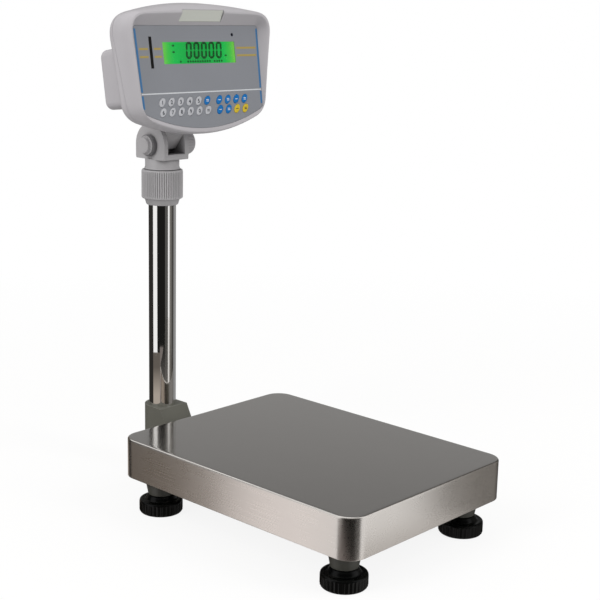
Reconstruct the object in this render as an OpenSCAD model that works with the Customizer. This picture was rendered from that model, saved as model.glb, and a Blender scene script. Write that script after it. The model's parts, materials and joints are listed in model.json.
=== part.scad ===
// Bench scale: a stainless pan on a cast frame with four levelling feet, a polished
// column behind it, and a display head that swivels and tilts on top of the column.
// The floor is z = 0, the front is -Y, and the origin is under the middle of the whole.

/* [Pan] */
// Width of the pan, left to right
pan_w = 300; // [270:5:360]
// Depth of the pan, front to back
pan_d = 400; // [360:5:480]
// Height of the pan's top face above the floor
pan_top = 101; // [99:1:115]
// Height of the pan's skirt
skirt_h = 52; // [50:1:56]
// Sheet thickness of the pan
pan_t = 1.5; // [1:0.1:2]
// Outside radius of the pan's upright corners
pan_corner_r = 28; // [20:1:36]
// Outside bend radius along the pan's top edge
pan_bend_r = 3.5; // [3:0.5:6]
// Height of the rubber pads under the pan
pad_h = 6.2; // [5:0.2:8]
// Diameter of the rubber pads
pad_d = 22; // [16:1:28]

/* [Frames and load cell] */
// Thickness of the upper frame that carries the pan
carrier_t = 11; // [8:1:12]
// Width of the upper frame's bars
carrier_bar = 34; // [28:1:40]
// Thickness of the cast base frame's bars
base_t = 11; // [10:1:13]
// Width of the base frame's cross bars
base_bar = 26; // [22:1:28]
// Length of the load cell
cell_l = 140; // [130:5:160]
// Width of the load cell
cell_w = 36; // [32:1:42]
// Height of the load cell
cell_h = 26; // [24:1:28]
// Radius of the two bores that make the load cell bend
cell_bore_r = 8.5; // [6:0.5:9]
// Thread of the load cell's bolts
cell_bolt_d = 6; // [5:1:8]

/* [Feet] */
// Distance from the pan's side to a foot's axis
foot_inset_x = 36; // [32:1:46]
// Distance from the pan's front or back edge to a foot's axis
foot_inset_y = 40; // [34:1:50]
// Diameter of a foot's ribbed disc
foot_d = 57; // [48:1:62]
// Height of a foot's disc
foot_h = 24; // [20:1:25]
// Number of ribs round a foot
foot_ribs = 36; // [24:2:48]
// Diameter of a foot's threaded stud
stud_d = 10; // [8:1:12]
// How far a foot screws out
foot_travel = 12; // [6:1:14]
// Diameter of the cast boss above a foot, at its lower end
boss_d = 34; // [30:1:38]

/* [Column] */
// Outside diameter of the column
column_d = 38; // [34:1:40]
// Wall of the column's tube
column_wall = 2; // [1.5:0.1:3]
// Distance from the pan's back edge to the column's axis
column_gap = 87; // [84:1:110]
// Width of the cast bracket that holds the column
bracket_w = 50; // [48:1:58]
// Drop from the pan's top to the bracket's top
bracket_drop = 6; // [0:1:12]
// Height of the tilt axis above the pan's top
hinge_rise = 364; // [300:2:420]

/* [Clamp and yoke] */
// Diameter of the ribbed clamp nut
nut_d = 57; // [55:0.5:60]
// Height of the nut's ribbed part
nut_h = 40; // [32:1:46]
// Number of ribs round the nut
nut_ribs = 56; // [36:2:72]
// Diameter of the yoke's neck above the nut
neck_d = 47; // [46:0.5:52]
// Radius of the yoke's ears about the tilt axis
ear_r = 29.5; // [26:0.5:31]
// Thickness of an ear
ear_t = 6.7; // [5:0.1:9]
// Gap between the ears
ear_gap = 30.5; // [26:0.5:36]
// Thickness of the tilt bolt
bolt_d = 8; // [6:1:10]
// Diameter of the tilt washers; the bolt's head is a little smaller
washer_d = 29; // [26:0.5:32]
// Diameter of the tilt knob
knob_d = 35; // [30:0.5:38]
// Length of the tilt knob
knob_l = 25; // [20:1:32]

/* [Head] */
// Lean of the head, backwards from upright
tilt = 9; // [0:1:20]
// Distance from the tilt axis forward to the keypad panel
panel_reach = 94; // [90:1:104]
// Height of the panel's zero line above the tilt axis, with the head upright
panel_lift = 21; // [19:1:28]
// Width of the keypad panel
panel_w = 214; // [204:2:240]
// Top edge of the panel above its zero line
panel_top = 127; // [122:1:140]
// Side corners of the panel's curved lower edge above its zero line
panel_side = 17; // [14:1:20]
// Lowest point of the panel's curved lower edge below its zero line
panel_dip = 6; // [2:1:10]
// Thickness of the keypad panel
panel_t = 1.6; // [1.2:0.1:2]
// Wall of the moulded housing
shell_t = 2.5; // [2:0.1:3]
// Half width of the box on the back of the housing
box_half_w = 108; // [92:1:110]
// Height of the box on the back of the housing
box_h = 77; // [64:1:82]
// How far the box reaches behind the panel's face
box_back = 76.5; // [64:0.5:80]

/* [Display and keys] */
// Width of the display window
lcd_w = 128; // [110:1:136]
// Height of the display window
lcd_h = 28; // [22:1:32]
// Middle of the display window above the panel's zero line
lcd_v = 92; // [88:1:96]
// Spacing of the keys along a row
key_pitch = 15.7; // [15:0.1:16.5]
// Extra space between the left and the right group of keys
key_group_gap = 6.2; // [4:0.2:8]
// Height of the lower row of keys above the panel's zero line
key_v = 16.7; // [15:0.1:18]
// Spacing of the two rows of keys
key_row = 12.9; // [12.4:0.1:13.5]
// Long half axis of a slanted oval key
key_long = 6.7; // [5.5:0.1:7]
// Short half axis of a slanted oval key
key_short = 4.3; // [3.6:0.1:4.6]
// Slant of the oval keys above the level
key_slant = 48; // [35:1:60]
// Travel of a key
key_travel = 0.5; // [0.3:0.1:0.6]
// Width of the bare badge let into the rim over the panel
badge_w = 74; // [60:1:90]
// Height of the bare badge
badge_h = 13.6; // [12:0.2:15]

/* [Hidden] */
$fn = 64;

// Clearances: between moving pieces, in a running fit, and round a loose insert
gap = 0.4;
running = 0.05;
loose = 0.25;

// Levels of the platform, from the pan down
pan_under = pan_top - pan_t;
pad_z = pan_under - gap - pad_h;
carrier_z = pad_z - carrier_t;
cell_seat = 3;
cell_z = carrier_z - cell_seat - cell_h;
skirt_z = pan_top - skirt_h;
base_top = skirt_z - 3;
base_z = base_top - base_t;
boss_z = foot_h + 1;

// Plan positions
foot_x = pan_w / 2 - foot_inset_x;
foot_y = pan_d / 2 - foot_inset_y;
column_y = pan_d / 2 + column_gap;
column_r = column_d / 2;
pad_x = foot_x - 4;
pad_y = foot_y - 10;
mid_y = (column_y + max(ear_r, bracket_w / 2) - pan_d / 2) / 2;

// The load cell's bolts: the rear pair holds the base, the front pair the carrier
cell_bolt_x = cell_w / 4;
cell_bolt_y = cell_l / 2 - 14;
cell_seat_l = 38;
cell_bore_y = 14;
cell_grip = 14;

// Column, bracket and nut levels
bracket_top = pan_top - bracket_drop;
bracket_slope = 0.53;
flange_t = 10;
flange_y = -(bracket_w / 2 + 41);
flange_bolt_x = bracket_w * 0.3;
flange_bolt_r = 4;
column_foot = base_z + 5;
hinge_z = pan_top + hinge_rise;
floor_top = hinge_z - 11.5;
floor_t = 8;
neck_z = hinge_z - 33.5;
nut_top = neck_z - 0.6;
nut_z = nut_top - nut_h;
lip_h = 8.5;
sleeve_r = neck_d / 2 - 1.2;
sleeve_z = nut_z + 1.5;
column_top = neck_z + 9;
set_screw_r = 3;
set_screw_z = [bracket_top - 33, bracket_top - 13];

// Tilt bolt stack along X
ear_out = ear_gap / 2 + ear_t;
washer_l = 6;
washer_r = 1.5;
knob_x = ear_out + washer_r + gap;
knob_bore = 20;

// Feet
foot_r = foot_d / 2;
stud_r = stud_d / 2;
stud_foot = 8;
rib_depth = 0.9;
foot_spots = [[-foot_x, -foot_y], [foot_x, -foot_y], [-foot_x, foot_y], [foot_x, foot_y]];

// Housing outlines. Each row holds: distance in front of the panel's face at the top and
// at the bottom, then the growth over the panel at the upper corners (sideways, up), the
// top, the lower corners (sideways, up) and the bottom, and the two corner radii.
panel_row = [0, 0, 3, 0, 0, 0, 0, 0, 5, 7];
crease_row = [13.8, 4.5, 13.5, 12.5, 15, -1.5, -4, -5, 20, 16];
brow_row = [12.9, 3.7, 16.5, 14.5, 18, -0.4, -5, -6, 21, 17];
cheek_row = [9, 0.5, 22, 15.2, 23, 2.2, -5, -6.8, 22, 18];
side_row = [2, -5, 26.5, 14.8, 27.5, 7.2, -4.5, -7.1, 23, 19];
seam_row = [-13, -13, 28, 13.6, 31, 14.2, -4, -6.8, 24, 20];
back_rows = [
    [-20, -20, 26, 12.3, 32, 16.7, -3.5, -6.3, 24, 20],
    [-27, -27, 18.5, 8.3, 28.5, 12.2, -1, -3, 24, 20],
    [-33, -33, 10, 0, 20.5, 3, 5, 3.5, 24, 20],
    [-37, -37, -2, -11, 8.5, -10, 14, 13, 22, 18]
];
seam_n = seam_row[0];
seam_gap = 0.2;
back_n = back_rows[3][0];
half_w = panel_w / 2;
ledge = 5;
ledge_t = 2.5;
seat_n = -panel_t - 0.1;

// Housing screws: two high, two low, from the back
screw_hi = [half_w + panel_row[2] - 1, panel_top - 3];
screw_lo = [half_w - 12, panel_side - 2];
screw_spots = [screw_hi, [-screw_hi.x, screw_hi.y], screw_lo, [-screw_lo.x, screw_lo.y]];
screw_r = 1.5;
screw_head_r = 3;
screw_head_n = -26;
post_n = -19;
post_r = 4;
well_r = 5.5;

// Box on the back, and the plate that carries the head under it
box_v = 66;
box_low = box_v - box_h / 2;
box_corner = 10;
box_round = 8;
plate_t = 7;
plate_top = panel_lift + box_low - 0.3;
plate_w = 70;
plate_y = -panel_reach - back_n + 1;
plate_back = plate_y + 52;
plate_screw_x = 26;
plate_screw_r = 2;
screw_bite = 4.5;
plate_screw_y = [plate_y + 12, plate_y + 30];
tongue_w = ear_gap - 2 * 0.3;

// Sockets in the back of the box: power, and the load cell's plug
inlet_spot = [-70, box_low + 22];
inlet_r = 6;
socket_spot = [70, box_low + 22];
socket_r = 8;
socket_l = 14;
cup_l = 9;

// Display, indicator slot, lamp and key places on the panel
lcd_board = [lcd_w + 6, lcd_h + 10, 8];
bar_u = -84;
bar_v = 93;
bar_w = 5;
bar_h = 40;
lamp_u = 61;
lamp_v = 115;
lamp_r = 2;
key_split = 6;
key_cols = 10;
key_shift = -0.75;
key_span = (key_cols - 1) * key_pitch + key_group_gap;
key_left = key_shift - key_span / 2;
key_rise = 0.8;
key_rim = 0.7;
key_rim_t = 1.2;
key_count = 2 * key_cols;
badge_u = 1;
badge_low = panel_top + 4.6;
badge_n = [4.2, 12.7];
badge_t = 0.9;
badge_sink = 1.2;

// Boards and battery inside the head
board_t = 1.6;
key_board_margin = [13, 8.5];
main_board_size = [150, 85];
main_board_low = 30;
battery_size = [100, 56, 22];
battery_clear = 22;

// Point of the head's side view from a height on the panel and a distance in front of it
function face_spot(v, n) = [-panel_reach - n, panel_lift + v];

function key_u(i) = key_left + i * key_pitch + (i < key_split ? 0 : key_group_gap);
function key_spot(k) = [key_u(k % key_cols), key_v + (k < key_cols ? key_row : 0)];

// Right half of a housing outline, from the bottom middle to the top middle
function bow(x, w, end, mid) = mid + (end - mid) * pow(x / w, 2);
function bend(p, q, s, t) = pow(1 - t, 2) * p + 2 * t * (1 - t) * q + t * t * s;
function half_outline(w1, v1, top, w2, v2, low, r1, r2) =
    let (
        c1 = [w1, v1],
        c2 = [w2, v2],
        up = (c1 - c2) / norm(c1 - c2),
        low_x = w2 - r2,
        top_x = w1 - r1,
        a = [low_x, bow(low_x, w2, v2, low)],
        b = c2 + r2 * up,
        c = c1 - r1 * up,
        d = [top_x, bow(top_x, w1, v1, top)]
    )
    concat(
        [for (i = [0 : 5]) [low_x * i / 6, bow(low_x * i / 6, w2, v2, low)]],
        [for (i = [0 : 5]) bend(a, c2, b, i / 5)],
        [b + (c - b) / 2],
        [for (i = [0 : 6]) bend(c, c1, d, i / 6)],
        [for (i = [5 : -1 : 0]) [top_x * i / 6, bow(top_x * i / 6, w1, v1, top)]]
    );
function outline(row) =
    let (
        h = half_outline(
            half_w + row[2], panel_top + row[3], panel_top + row[4],
            half_w + row[5], panel_side + row[6], row[7] - panel_dip, row[8], row[9]
        )
    )
    concat(h, [for (i = [len(h) - 2 : -1 : 1]) [-h[i].x, h[i].y]]);

// The same outline pulled in by a wall, or moved to another depth
function inset(row, t) = [
    row[0], row[1], row[2] - t, row[3] - t, row[4] - t,
    row[5] - t, row[6] + t, row[7] + t, row[8], row[9]
];
function at_depth(row, n) = [n, n, row[2], row[3], row[4], row[5], row[6], row[7], row[8], row[9]];

// Points of an outline in the head's own frame, where the tilt axis is the origin
function ring(row) =
    let (
        top = panel_top + row[4],
        low = row[7] - panel_dip
    )
    [for (p = outline(row))
        [p.x, -panel_reach - row[0] - (row[1] - row[0]) * (top - p.y) / (top - low), panel_lift + p.y]];

// A rounded box outline, for the box on the back
function box_ring(n, w, h, r) = [
    for (q = [0 : 3], i = [0 : 5])
        let (
            a = q * 90 + i * 18,
            sx = (q == 0 || q == 3) ? 1 : -1,
            sz = (q < 2) ? 1 : -1
        )
        [sx * (w - r) + r * cos(a), -panel_reach - n, panel_lift + box_v + sz * (h / 2 - r) + r * sin(a)]
];

// Ribbed outline: pairs of points out and in, round a circle
function ribbed(r, count, depth) = [
    for (i = [0 : 4 * count - 1])
        let (a = i * 90 / count)
        (i % 4 < 2 ? r : r - depth) * [cos(a), sin(a)]
];

// Slanted oval of a key, grown by a margin
function oval(grow) = [
    for (i = [0 : 23])
        let (
            x = (key_long + grow) * cos(i * 15),
            y = (key_short + grow) * sin(i * 15)
        )
        [x * cos(key_slant) - y * sin(key_slant), x * sin(key_slant) + y * cos(key_slant)]
];

// Bend of the pan in section: outside at x = 0, inside towards +x, top at y = 0
function pan_section() = concat(
    [[0, -skirt_h]],
    [for (i = [0 : 6]) pan_bend_r * [1 - cos(i * 15), sin(i * 15) - 1]],
    [[pan_bend_r, -pan_t]],
    [for (i = [6 : -1 : 0])
        let (r = pan_bend_r - pan_t)
        [pan_bend_r - r * cos(i * 15), r * sin(i * 15) - pan_bend_r]],
    [[pan_t, -skirt_h]]
);

// A solid through a list of rings, closed on itself or capped at both ends
module skin(rings, loop = false) {
    m = len(rings[0]);
    k = len(rings);
    last = loop ? k - 1 : k - 2;
    walls = [
        for (j = [0 : last], i = [0 : m - 1], side = [0, 1])
            let (
                a = j * m + i,
                b = j * m + (i + 1) % m,
                c = ((j + 1) % k) * m + (i + 1) % m,
                d = ((j + 1) % k) * m + i
            )
            side == 0 ? [a, b, c] : [a, c, d]
    ];
    caps = loop ? [] : [[for (i = [m - 1 : -1 : 0]) i], [for (i = [0 : m - 1]) (k - 1) * m + i]];
    polyhedron(points = [for (r = rings, p = r) p], faces = concat(walls, caps));
}

// Places: the whole model, the platform's corners, the column's axis and the head
module place() {
    translate([0, -mid_y, 0])
        children();
}

module at_column() {
    place()
        translate([0, column_y, 0])
            children();
}

module in_head() {
    at_column()
        translate([0, 0, hinge_z])
            rotate([-tilt, 0, 0])
                children();
}

module on_panel(n0, n1) {
    in_head()
        panel_prism(n0, n1)
            children();
}

module panel_prism(n0, n1) {
    translate([0, -panel_reach, panel_lift])
        rotate([90, 0, 0])
            translate([0, 0, n0])
                linear_extrude(n1 - n0)
                    children();
}

module across(x0, x1) {
    translate([x0, 0, 0])
        rotate([90, 0, 90])
            linear_extrude(x1 - x0)
                children();
}

module rod_x(x0, x1, r) {
    across(x0, x1)
        circle(r);
}

module ring_x(x0, x1, r, bore) {
    across(x0, x1)
        difference() {
            circle(r);
            circle(bore);
        }
}

module rounded(w, d, r) {
    square([w, d - 2 * r], center = true);
    square([w - 2 * r, d], center = true);
    for (x = [-1, 1], y = [-1, 1])
        translate([x * (w / 2 - r), y * (d / 2 - r)])
            circle(r);
}

module bar(w, d, z0, z1) {
    translate([-w / 2, -d / 2, z0])
        cube([w, d, z1 - z0]);
}

module hex_bolt(head_r, head_h, r, length) {
    cylinder(h = head_h, r = head_r, $fn = 6);
    translate([0, 0, -length])
        cylinder(h = length, r = r);
}

// Pan: one sheet folded down on four sides, open below
module platform_pan() {
    flat_w = pan_w - 2 * pan_corner_r;
    flat_d = pan_d - 2 * pan_corner_r;
    color("silver")
        place()
            translate([0, 0, pan_top]) {
                translate([0, 0, -pan_t])
                    linear_extrude(pan_t)
                        rounded(pan_w - 2 * pan_bend_r, pan_d - 2 * pan_bend_r, pan_corner_r - pan_bend_r);
                for (s = [0, 1])
                    rotate([0, 0, 180 * s]) {
                        translate([-pan_w / 2, flat_d / 2, 0])
                            rotate([90, 0, 0])
                                linear_extrude(flat_d)
                                    polygon(pan_section());
                        translate([-flat_w / 2, -pan_d / 2, 0])
                            rotate([90, 0, 90])
                                linear_extrude(flat_w)
                                    polygon(pan_section());
                    }
                for (x = [-1, 1], y = [-1, 1])
                    translate([x * flat_w / 2, y * flat_d / 2, 0])
                        rotate([0, 0, x > 0 ? (y > 0 ? 0 : 270) : (y > 0 ? 90 : 180)])
                            rotate_extrude(angle = 90)
                                translate([pan_corner_r, 0])
                                    mirror([1, 0])
                                        polygon(pan_section());
            }
}

module pan_pads() {
    color("dimgray")
        place()
            for (x = [-1, 1], y = [-1, 1])
                translate([x * pad_x, y * pad_y, pad_z])
                    cylinder(h = pad_h, d = pad_d);
}

// Upper frame: an H of bars, with a seat on the load cell's front end
module platform_carrier() {
    color("slategray")
        place()
            difference() {
                union() {
                    bar(carrier_bar + 10, 2 * pad_y, carrier_z, carrier_z + carrier_t);
                    for (y = [-1, 1])
                        translate([0, y * pad_y, 0]) {
                            bar(2 * pad_x, carrier_bar, carrier_z, carrier_z + carrier_t);
                            for (x = [-1, 1])
                                translate([x * pad_x, 0, carrier_z])
                                    cylinder(h = carrier_t, d = carrier_bar);
                        }
                    translate([0, -cell_l / 2 + cell_seat_l / 2, 0])
                        bar(cell_w, cell_seat_l, carrier_z - cell_seat, carrier_z);
                }
                for (x = [-1, 1])
                    translate([x * cell_bolt_x, -cell_bolt_y, carrier_z - cell_seat - 1])
                        cylinder(h = carrier_t + cell_seat + 2, r = cell_bolt_d / 2 + 0.2);
            }
}

// Load cell: a beam with two joined bores across its middle
module load_cell() {
    color("gainsboro")
        place()
            difference() {
                bar(cell_w, cell_l, cell_z, cell_z + cell_h);
                translate([0, 0, cell_z + cell_h / 2]) {
                    for (y = [-1, 1])
                        translate([0, y * cell_bore_y, 0])
                            rod_x(-cell_w, cell_w, cell_bore_r);
                    bar(2 * cell_w, 2 * cell_bore_y, -cell_bore_r / 3, cell_bore_r / 3);
                }
                for (x = [-1, 1])
                    translate([x * cell_bolt_x, 0, 0]) {
                        translate([0, cell_bolt_y, cell_z - 1])
                            cylinder(h = cell_grip + 1, r = cell_bolt_d / 2 + running);
                        translate([0, -cell_bolt_y, cell_z + cell_h - cell_grip])
                            cylinder(h = cell_grip + 1, r = cell_bolt_d / 2 + running);
                    }
            }
}

module cell_bolts() {
    color("gray")
        place()
            for (x = [-1, 1])
                translate([x * cell_bolt_x, 0, 0]) {
                    translate([0, -cell_bolt_y, carrier_z + carrier_t])
                        hex_bolt(cell_bolt_d * 0.85, 4, cell_bolt_d / 2, carrier_t + cell_seat + cell_grip - 1);
                    translate([0, cell_bolt_y, base_z])
                        rotate([180, 0, 0])
                            hex_bolt(cell_bolt_d * 0.85, 4, cell_bolt_d / 2, cell_z - base_z + cell_grip - 1);
                }
}

// Base frame: an H of cast bars with a tail to the column and four tapered foot bosses
module base_frame() {
    tail_y = column_y;
    color("dimgray")
        place()
            difference() {
                union() {
                    bar(bracket_w, 2 * foot_y, base_z, base_top);
                    translate([-bracket_w / 2, 0, base_z])
                        cube([bracket_w, tail_y, base_t]);
                    translate([0, tail_y, base_z])
                        cylinder(h = base_t, d = bracket_w);
                    for (y = [-1, 1])
                        translate([0, y * foot_y, 0])
                            bar(2 * foot_x, base_bar, base_z, base_top);
                    for (p = foot_spots)
                        translate([p.x, p.y, boss_z])
                            cylinder(h = base_top - boss_z, d1 = boss_d, d2 = boss_d + 8);
                    translate([0, cell_l / 2 - cell_seat_l / 2, 0])
                        bar(cell_w, cell_seat_l, base_top - 1, cell_z);
                }
                for (p = foot_spots)
                    translate([p.x, p.y, boss_z - 1])
                        cylinder(h = base_top - boss_z + 2, r = stud_r + running);
                for (x = [-1, 1])
                    translate([x * cell_bolt_x, cell_bolt_y, base_z - 1])
                        cylinder(h = cell_z - base_z + 2, r = cell_bolt_d / 2 + 0.2);
                translate([0, tail_y, column_foot])
                    cylinder(h = base_t, r = column_r + running);
                for (x = [-1, 1])
                    translate([x * flange_bolt_x, tail_y + flange_y + 10, base_z - 1])
                        cylinder(h = base_t + 2, r = flange_bolt_r + running);
            }
}

// Column bracket: round behind the column, with a sloped front that runs down to a flange
module column_bracket() {
    slope_y = -bracket_w / 2 + 1;
    slope_end = slope_y - bracket_slope * (bracket_top - base_top - flange_t);
    color([0.37, 0.37, 0.34])
        at_column()
            difference() {
                intersection() {
                    translate([0, 0, base_top])
                        linear_extrude(bracket_top - base_top) {
                            circle(d = bracket_w);
                            translate([-bracket_w / 2, flange_y])
                                square([bracket_w, -flange_y]);
                        }
                    across(-bracket_w, bracket_w)
                        polygon([
                            [flange_y, base_top],
                            [bracket_w, base_top],
                            [bracket_w, bracket_top],
                            [slope_y, bracket_top],
                            [slope_end, base_top + flange_t],
                            [flange_y, base_top + flange_t]
                        ]);
                }
                translate([0, 0, base_top - 1])
                    cylinder(h = bracket_top - base_top + 2, r = column_r + running);
                for (x = [-1, 1])
                    translate([x * flange_bolt_x, flange_y + 10, base_top - 1])
                        cylinder(h = flange_t + 2, r = flange_bolt_r + 0.2);
                for (z = set_screw_z)
                    translate([0, 0, z])
                        rotate([-90, 0, 0])
                            cylinder(h = bracket_w, r = set_screw_r + running);
            }
}

module bracket_bolts() {
    color("gray")
        at_column()
            for (x = [-1, 1])
                translate([x * flange_bolt_x, flange_y + 10, base_top + flange_t])
                    hex_bolt(7, 5, flange_bolt_r, flange_t + base_t - 1);
}

module column_screws() {
    tip = column_r + running;
    color("gray")
        at_column()
            for (z = set_screw_z)
                translate([0, tip, z])
                    rotate([-90, 0, 0])
                        difference() {
                            cylinder(h = bracket_w / 2 - tip - 0.5, r = set_screw_r);
                            translate([0, 0, bracket_w / 2 - tip - 2.5])
                                cylinder(h = 3, r = set_screw_r / 2, $fn = 6);
                        }
}

module column() {
    color("lightgray")
        at_column()
            translate([0, 0, column_foot])
                difference() {
                    cylinder(h = column_top - column_foot, r = column_r);
                    translate([0, 0, -1])
                        cylinder(h = column_top - column_foot + 2, r = column_r - column_wall);
                }
}

// Foot: a threaded stud that runs in its boss, and a ribbed disc that turns on it
module foot_stud(spot) {
    color("gray")
        place()
            translate([spot.x, spot.y, stud_foot])
                cylinder(h = base_top + foot_travel - stud_foot, r = stud_r);
}

module foot_disc(spot) {
    neck_r = boss_d / 2 + 1.5;
    edge = foot_h * 0.68;
    color([0.06, 0.06, 0.06])
        place()
            translate([spot.x, spot.y, 0])
                difference() {
                    intersection() {
                        linear_extrude(foot_h)
                            polygon(ribbed(foot_r, foot_ribs, rib_depth));
                        rotate_extrude()
                            polygon([
                                [0, 0],
                                [foot_r - 2, 0],
                                [foot_r, 2],
                                [foot_r, edge],
                                [foot_r - 1.2, edge + 1.8],
                                [foot_r - 3.4, edge + 2.9],
                                [neck_r, foot_h - 1.5],
                                [neck_r - 1.5, foot_h],
                                [0, foot_h]
                            ]);
                    }
                    translate([0, 0, stud_foot - gap])
                        cylinder(h = foot_h, r = stud_r + running);
                }
}

// Clamp nut: squeezes the yoke's sleeve on the column
module clamp_nut() {
    color([0.6, 0.6, 0.6])
        at_column()
            difference() {
                union() {
                    translate([0, 0, nut_z])
                        linear_extrude(nut_h)
                            polygon(ribbed(nut_d / 2, nut_ribs, 0.7));
                    translate([0, 0, nut_z - lip_h])
                        cylinder(h = lip_h, r1 = column_r + 2, r2 = nut_d / 2 - 4);
                }
                translate([0, 0, sleeve_z - gap])
                    cylinder(h = nut_h + 1, r = sleeve_r + running);
                translate([0, 0, nut_z - lip_h - 1])
                    cylinder(h = nut_h, r = column_r + gap);
            }
}

// Yoke: a sleeve on the column, a neck, a floor and two round ears
module yoke() {
    color([0.62, 0.62, 0.63])
        at_column()
            difference() {
                union() {
                    translate([0, 0, sleeve_z])
                        cylinder(h = neck_z - sleeve_z + 1, r = sleeve_r);
                    translate([0, 0, neck_z])
                        cylinder(h = 3, d1 = neck_d + 2, d2 = neck_d);
                    translate([0, 0, neck_z + 2])
                        cylinder(h = floor_top - floor_t - neck_z - 1, d = neck_d);
                    bar(2 * ear_out, 2 * ear_r, floor_top - floor_t, floor_top);
                    for (x = [-ear_out, ear_gap / 2])
                        translate([0, 0, hinge_z])
                            across(x, x + ear_t) {
                                circle(ear_r);
                                translate([-ear_r, floor_top - floor_t - hinge_z])
                                    square([2 * ear_r, hinge_z + floor_t - floor_top]);
                            }
                }
                translate([0, 0, sleeve_z - 1])
                    cylinder(h = column_top + gap - sleeve_z + 1, r = column_r + running);
                translate([0, 0, hinge_z])
                    rod_x(-ear_out - 1, ear_out + 1, bolt_d / 2 + running);
            }
}

module tilt_bolt() {
    head_x = -ear_out - washer_l;
    color([0.6, 0.6, 0.6])
        at_column()
            translate([0, 0, hinge_z]) {
                rod_x(head_x - 1, knob_x + knob_bore - 2, bolt_d / 2);
                rod_x(head_x - 2, head_x, washer_d / 2 - 1.5);
                rod_x(head_x - 7, head_x - 1.5, washer_d / 2 - 4);
            }
}

module tilt_washers() {
    color([0.3, 0.3, 0.3])
        at_column()
            translate([0, 0, hinge_z]) {
                ring_x(-ear_out - washer_l, -ear_out, washer_d / 2, bolt_d / 2 + running);
                ring_x(ear_out, ear_out + washer_r, washer_d / 2, bolt_d / 2 + running);
            }
}

module tilt_knob() {
    r = knob_d / 2;
    color([0.55, 0.55, 0.55])
        at_column()
            translate([knob_x, 0, hinge_z])
                rotate([0, 90, 0])
                    difference() {
                        rotate_extrude()
                            polygon([
                                [0, 0],
                                [r - 1, 0],
                                [r, 1],
                                [r - 0.6, knob_l - 4],
                                [r - 1.8, knob_l - 1.2],
                                [r - 4, knob_l],
                                [0, knob_l]
                            ]);
                        translate([0, 0, -1])
                            cylinder(h = knob_bore + 1, r = bolt_d / 2 + running);
                    }
}

// Head bracket: a tongue between the ears and a plate under the box on the back
module head_bracket() {
    under = plate_top - plate_t;
    color([0.5, 0.5, 0.5])
        in_head()
            difference() {
                union() {
                    across(-tongue_w / 2, tongue_w / 2) {
                        circle(9);
                        polygon([
                            [-9.5, -7.5],
                            [-28, 10],
                            [-28, under + 1],
                            [9, under + 1],
                            [9, 0],
                            [5, -7.5]
                        ]);
                    }
                    translate([-plate_w / 2, plate_y, under])
                        cube([plate_w, plate_back - plate_y, plate_t]);
                }
                rod_x(-tongue_w, tongue_w, bolt_d / 2 + running);
                for (x = [-1, 1], y = plate_screw_y)
                    translate([x * plate_screw_x, y, under - 1])
                        cylinder(h = plate_t + 2, r = plate_screw_r + 0.2);
            }
}

module bracket_screws() {
    color("gray")
        in_head()
            for (x = [-1, 1], y = plate_screw_y)
                translate([x * plate_screw_x, y, plate_top - plate_t])
                    rotate([180, 0, 0]) {
                        cylinder(h = 2.4, r = 2 * plate_screw_r);
                        translate([0, 0, -plate_t - screw_bite])
                            cylinder(h = plate_t + screw_bite + 1, r = plate_screw_r);
                    }
}

// Front bezel: a moulded frame whose sloped margin leads down to the panel's seat
module front_bezel() {
    seam = at_depth(seam_row, seam_n + seam_gap / 2);
    lip = inset(panel_row, -loose);
    color([0.7, 0.69, 0.71])
        in_head()
            difference() {
                union() {
                    skin([
                        ring(inset(seam, shell_t)),
                        ring(at_depth(inset(side_row, shell_t + 1.5), seat_n - ledge_t - 1)),
                        ring(at_depth(inset(panel_row, -2), seat_n - ledge_t)),
                        ring(at_depth(inset(panel_row, ledge), seat_n - ledge_t)),
                        ring(at_depth(inset(panel_row, ledge), seat_n)),
                        ring(at_depth(lip, seat_n)),
                        ring(lip),
                        ring(crease_row),
                        ring(brow_row),
                        ring(cheek_row),
                        ring(side_row),
                        ring(seam)
                    ], loop = true);
                    for (p = screw_spots)
                        panel_prism(post_n + 0.2, seat_n - 1)
                            translate(p)
                                circle(post_r);
                }
                for (p = screw_spots)
                    panel_prism(post_n - 1, seat_n - 1.5)
                        translate(p)
                            circle(screw_r + running);
                for (k = [0 : key_count - 1])
                    panel_prism(seat_n - ledge_t - 1, seat_n + gap)
                        translate(key_spot(k))
                            polygon(oval(key_rim + 2 * gap));
                badge_slab(-badge_sink, shell_t + badge_sink, loose);
            }
}

// Slab along the badge's slanted place in the rim, between two depths from the cut's face
module badge_slab(back, front, grow) {
    rise = (badge_n[1] - badge_n[0]) / badge_h;
    low = badge_low - grow;
    high = badge_low + badge_h + grow;
    low_n = badge_n[0] - grow * rise;
    high_n = badge_n[1] + grow * rise;
    across(badge_u - badge_w / 2 - grow, badge_u + badge_w / 2 + grow)
        polygon([
            face_spot(low, low_n + back),
            face_spot(high, high_n + back),
            face_spot(high, high_n + front),
            face_spot(low, low_n + front)
        ]);
}

module badge_plate() {
    color([0.72, 0.72, 0.72])
        in_head()
            badge_slab(running - badge_sink, badge_t - badge_sink, 0);
}

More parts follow.
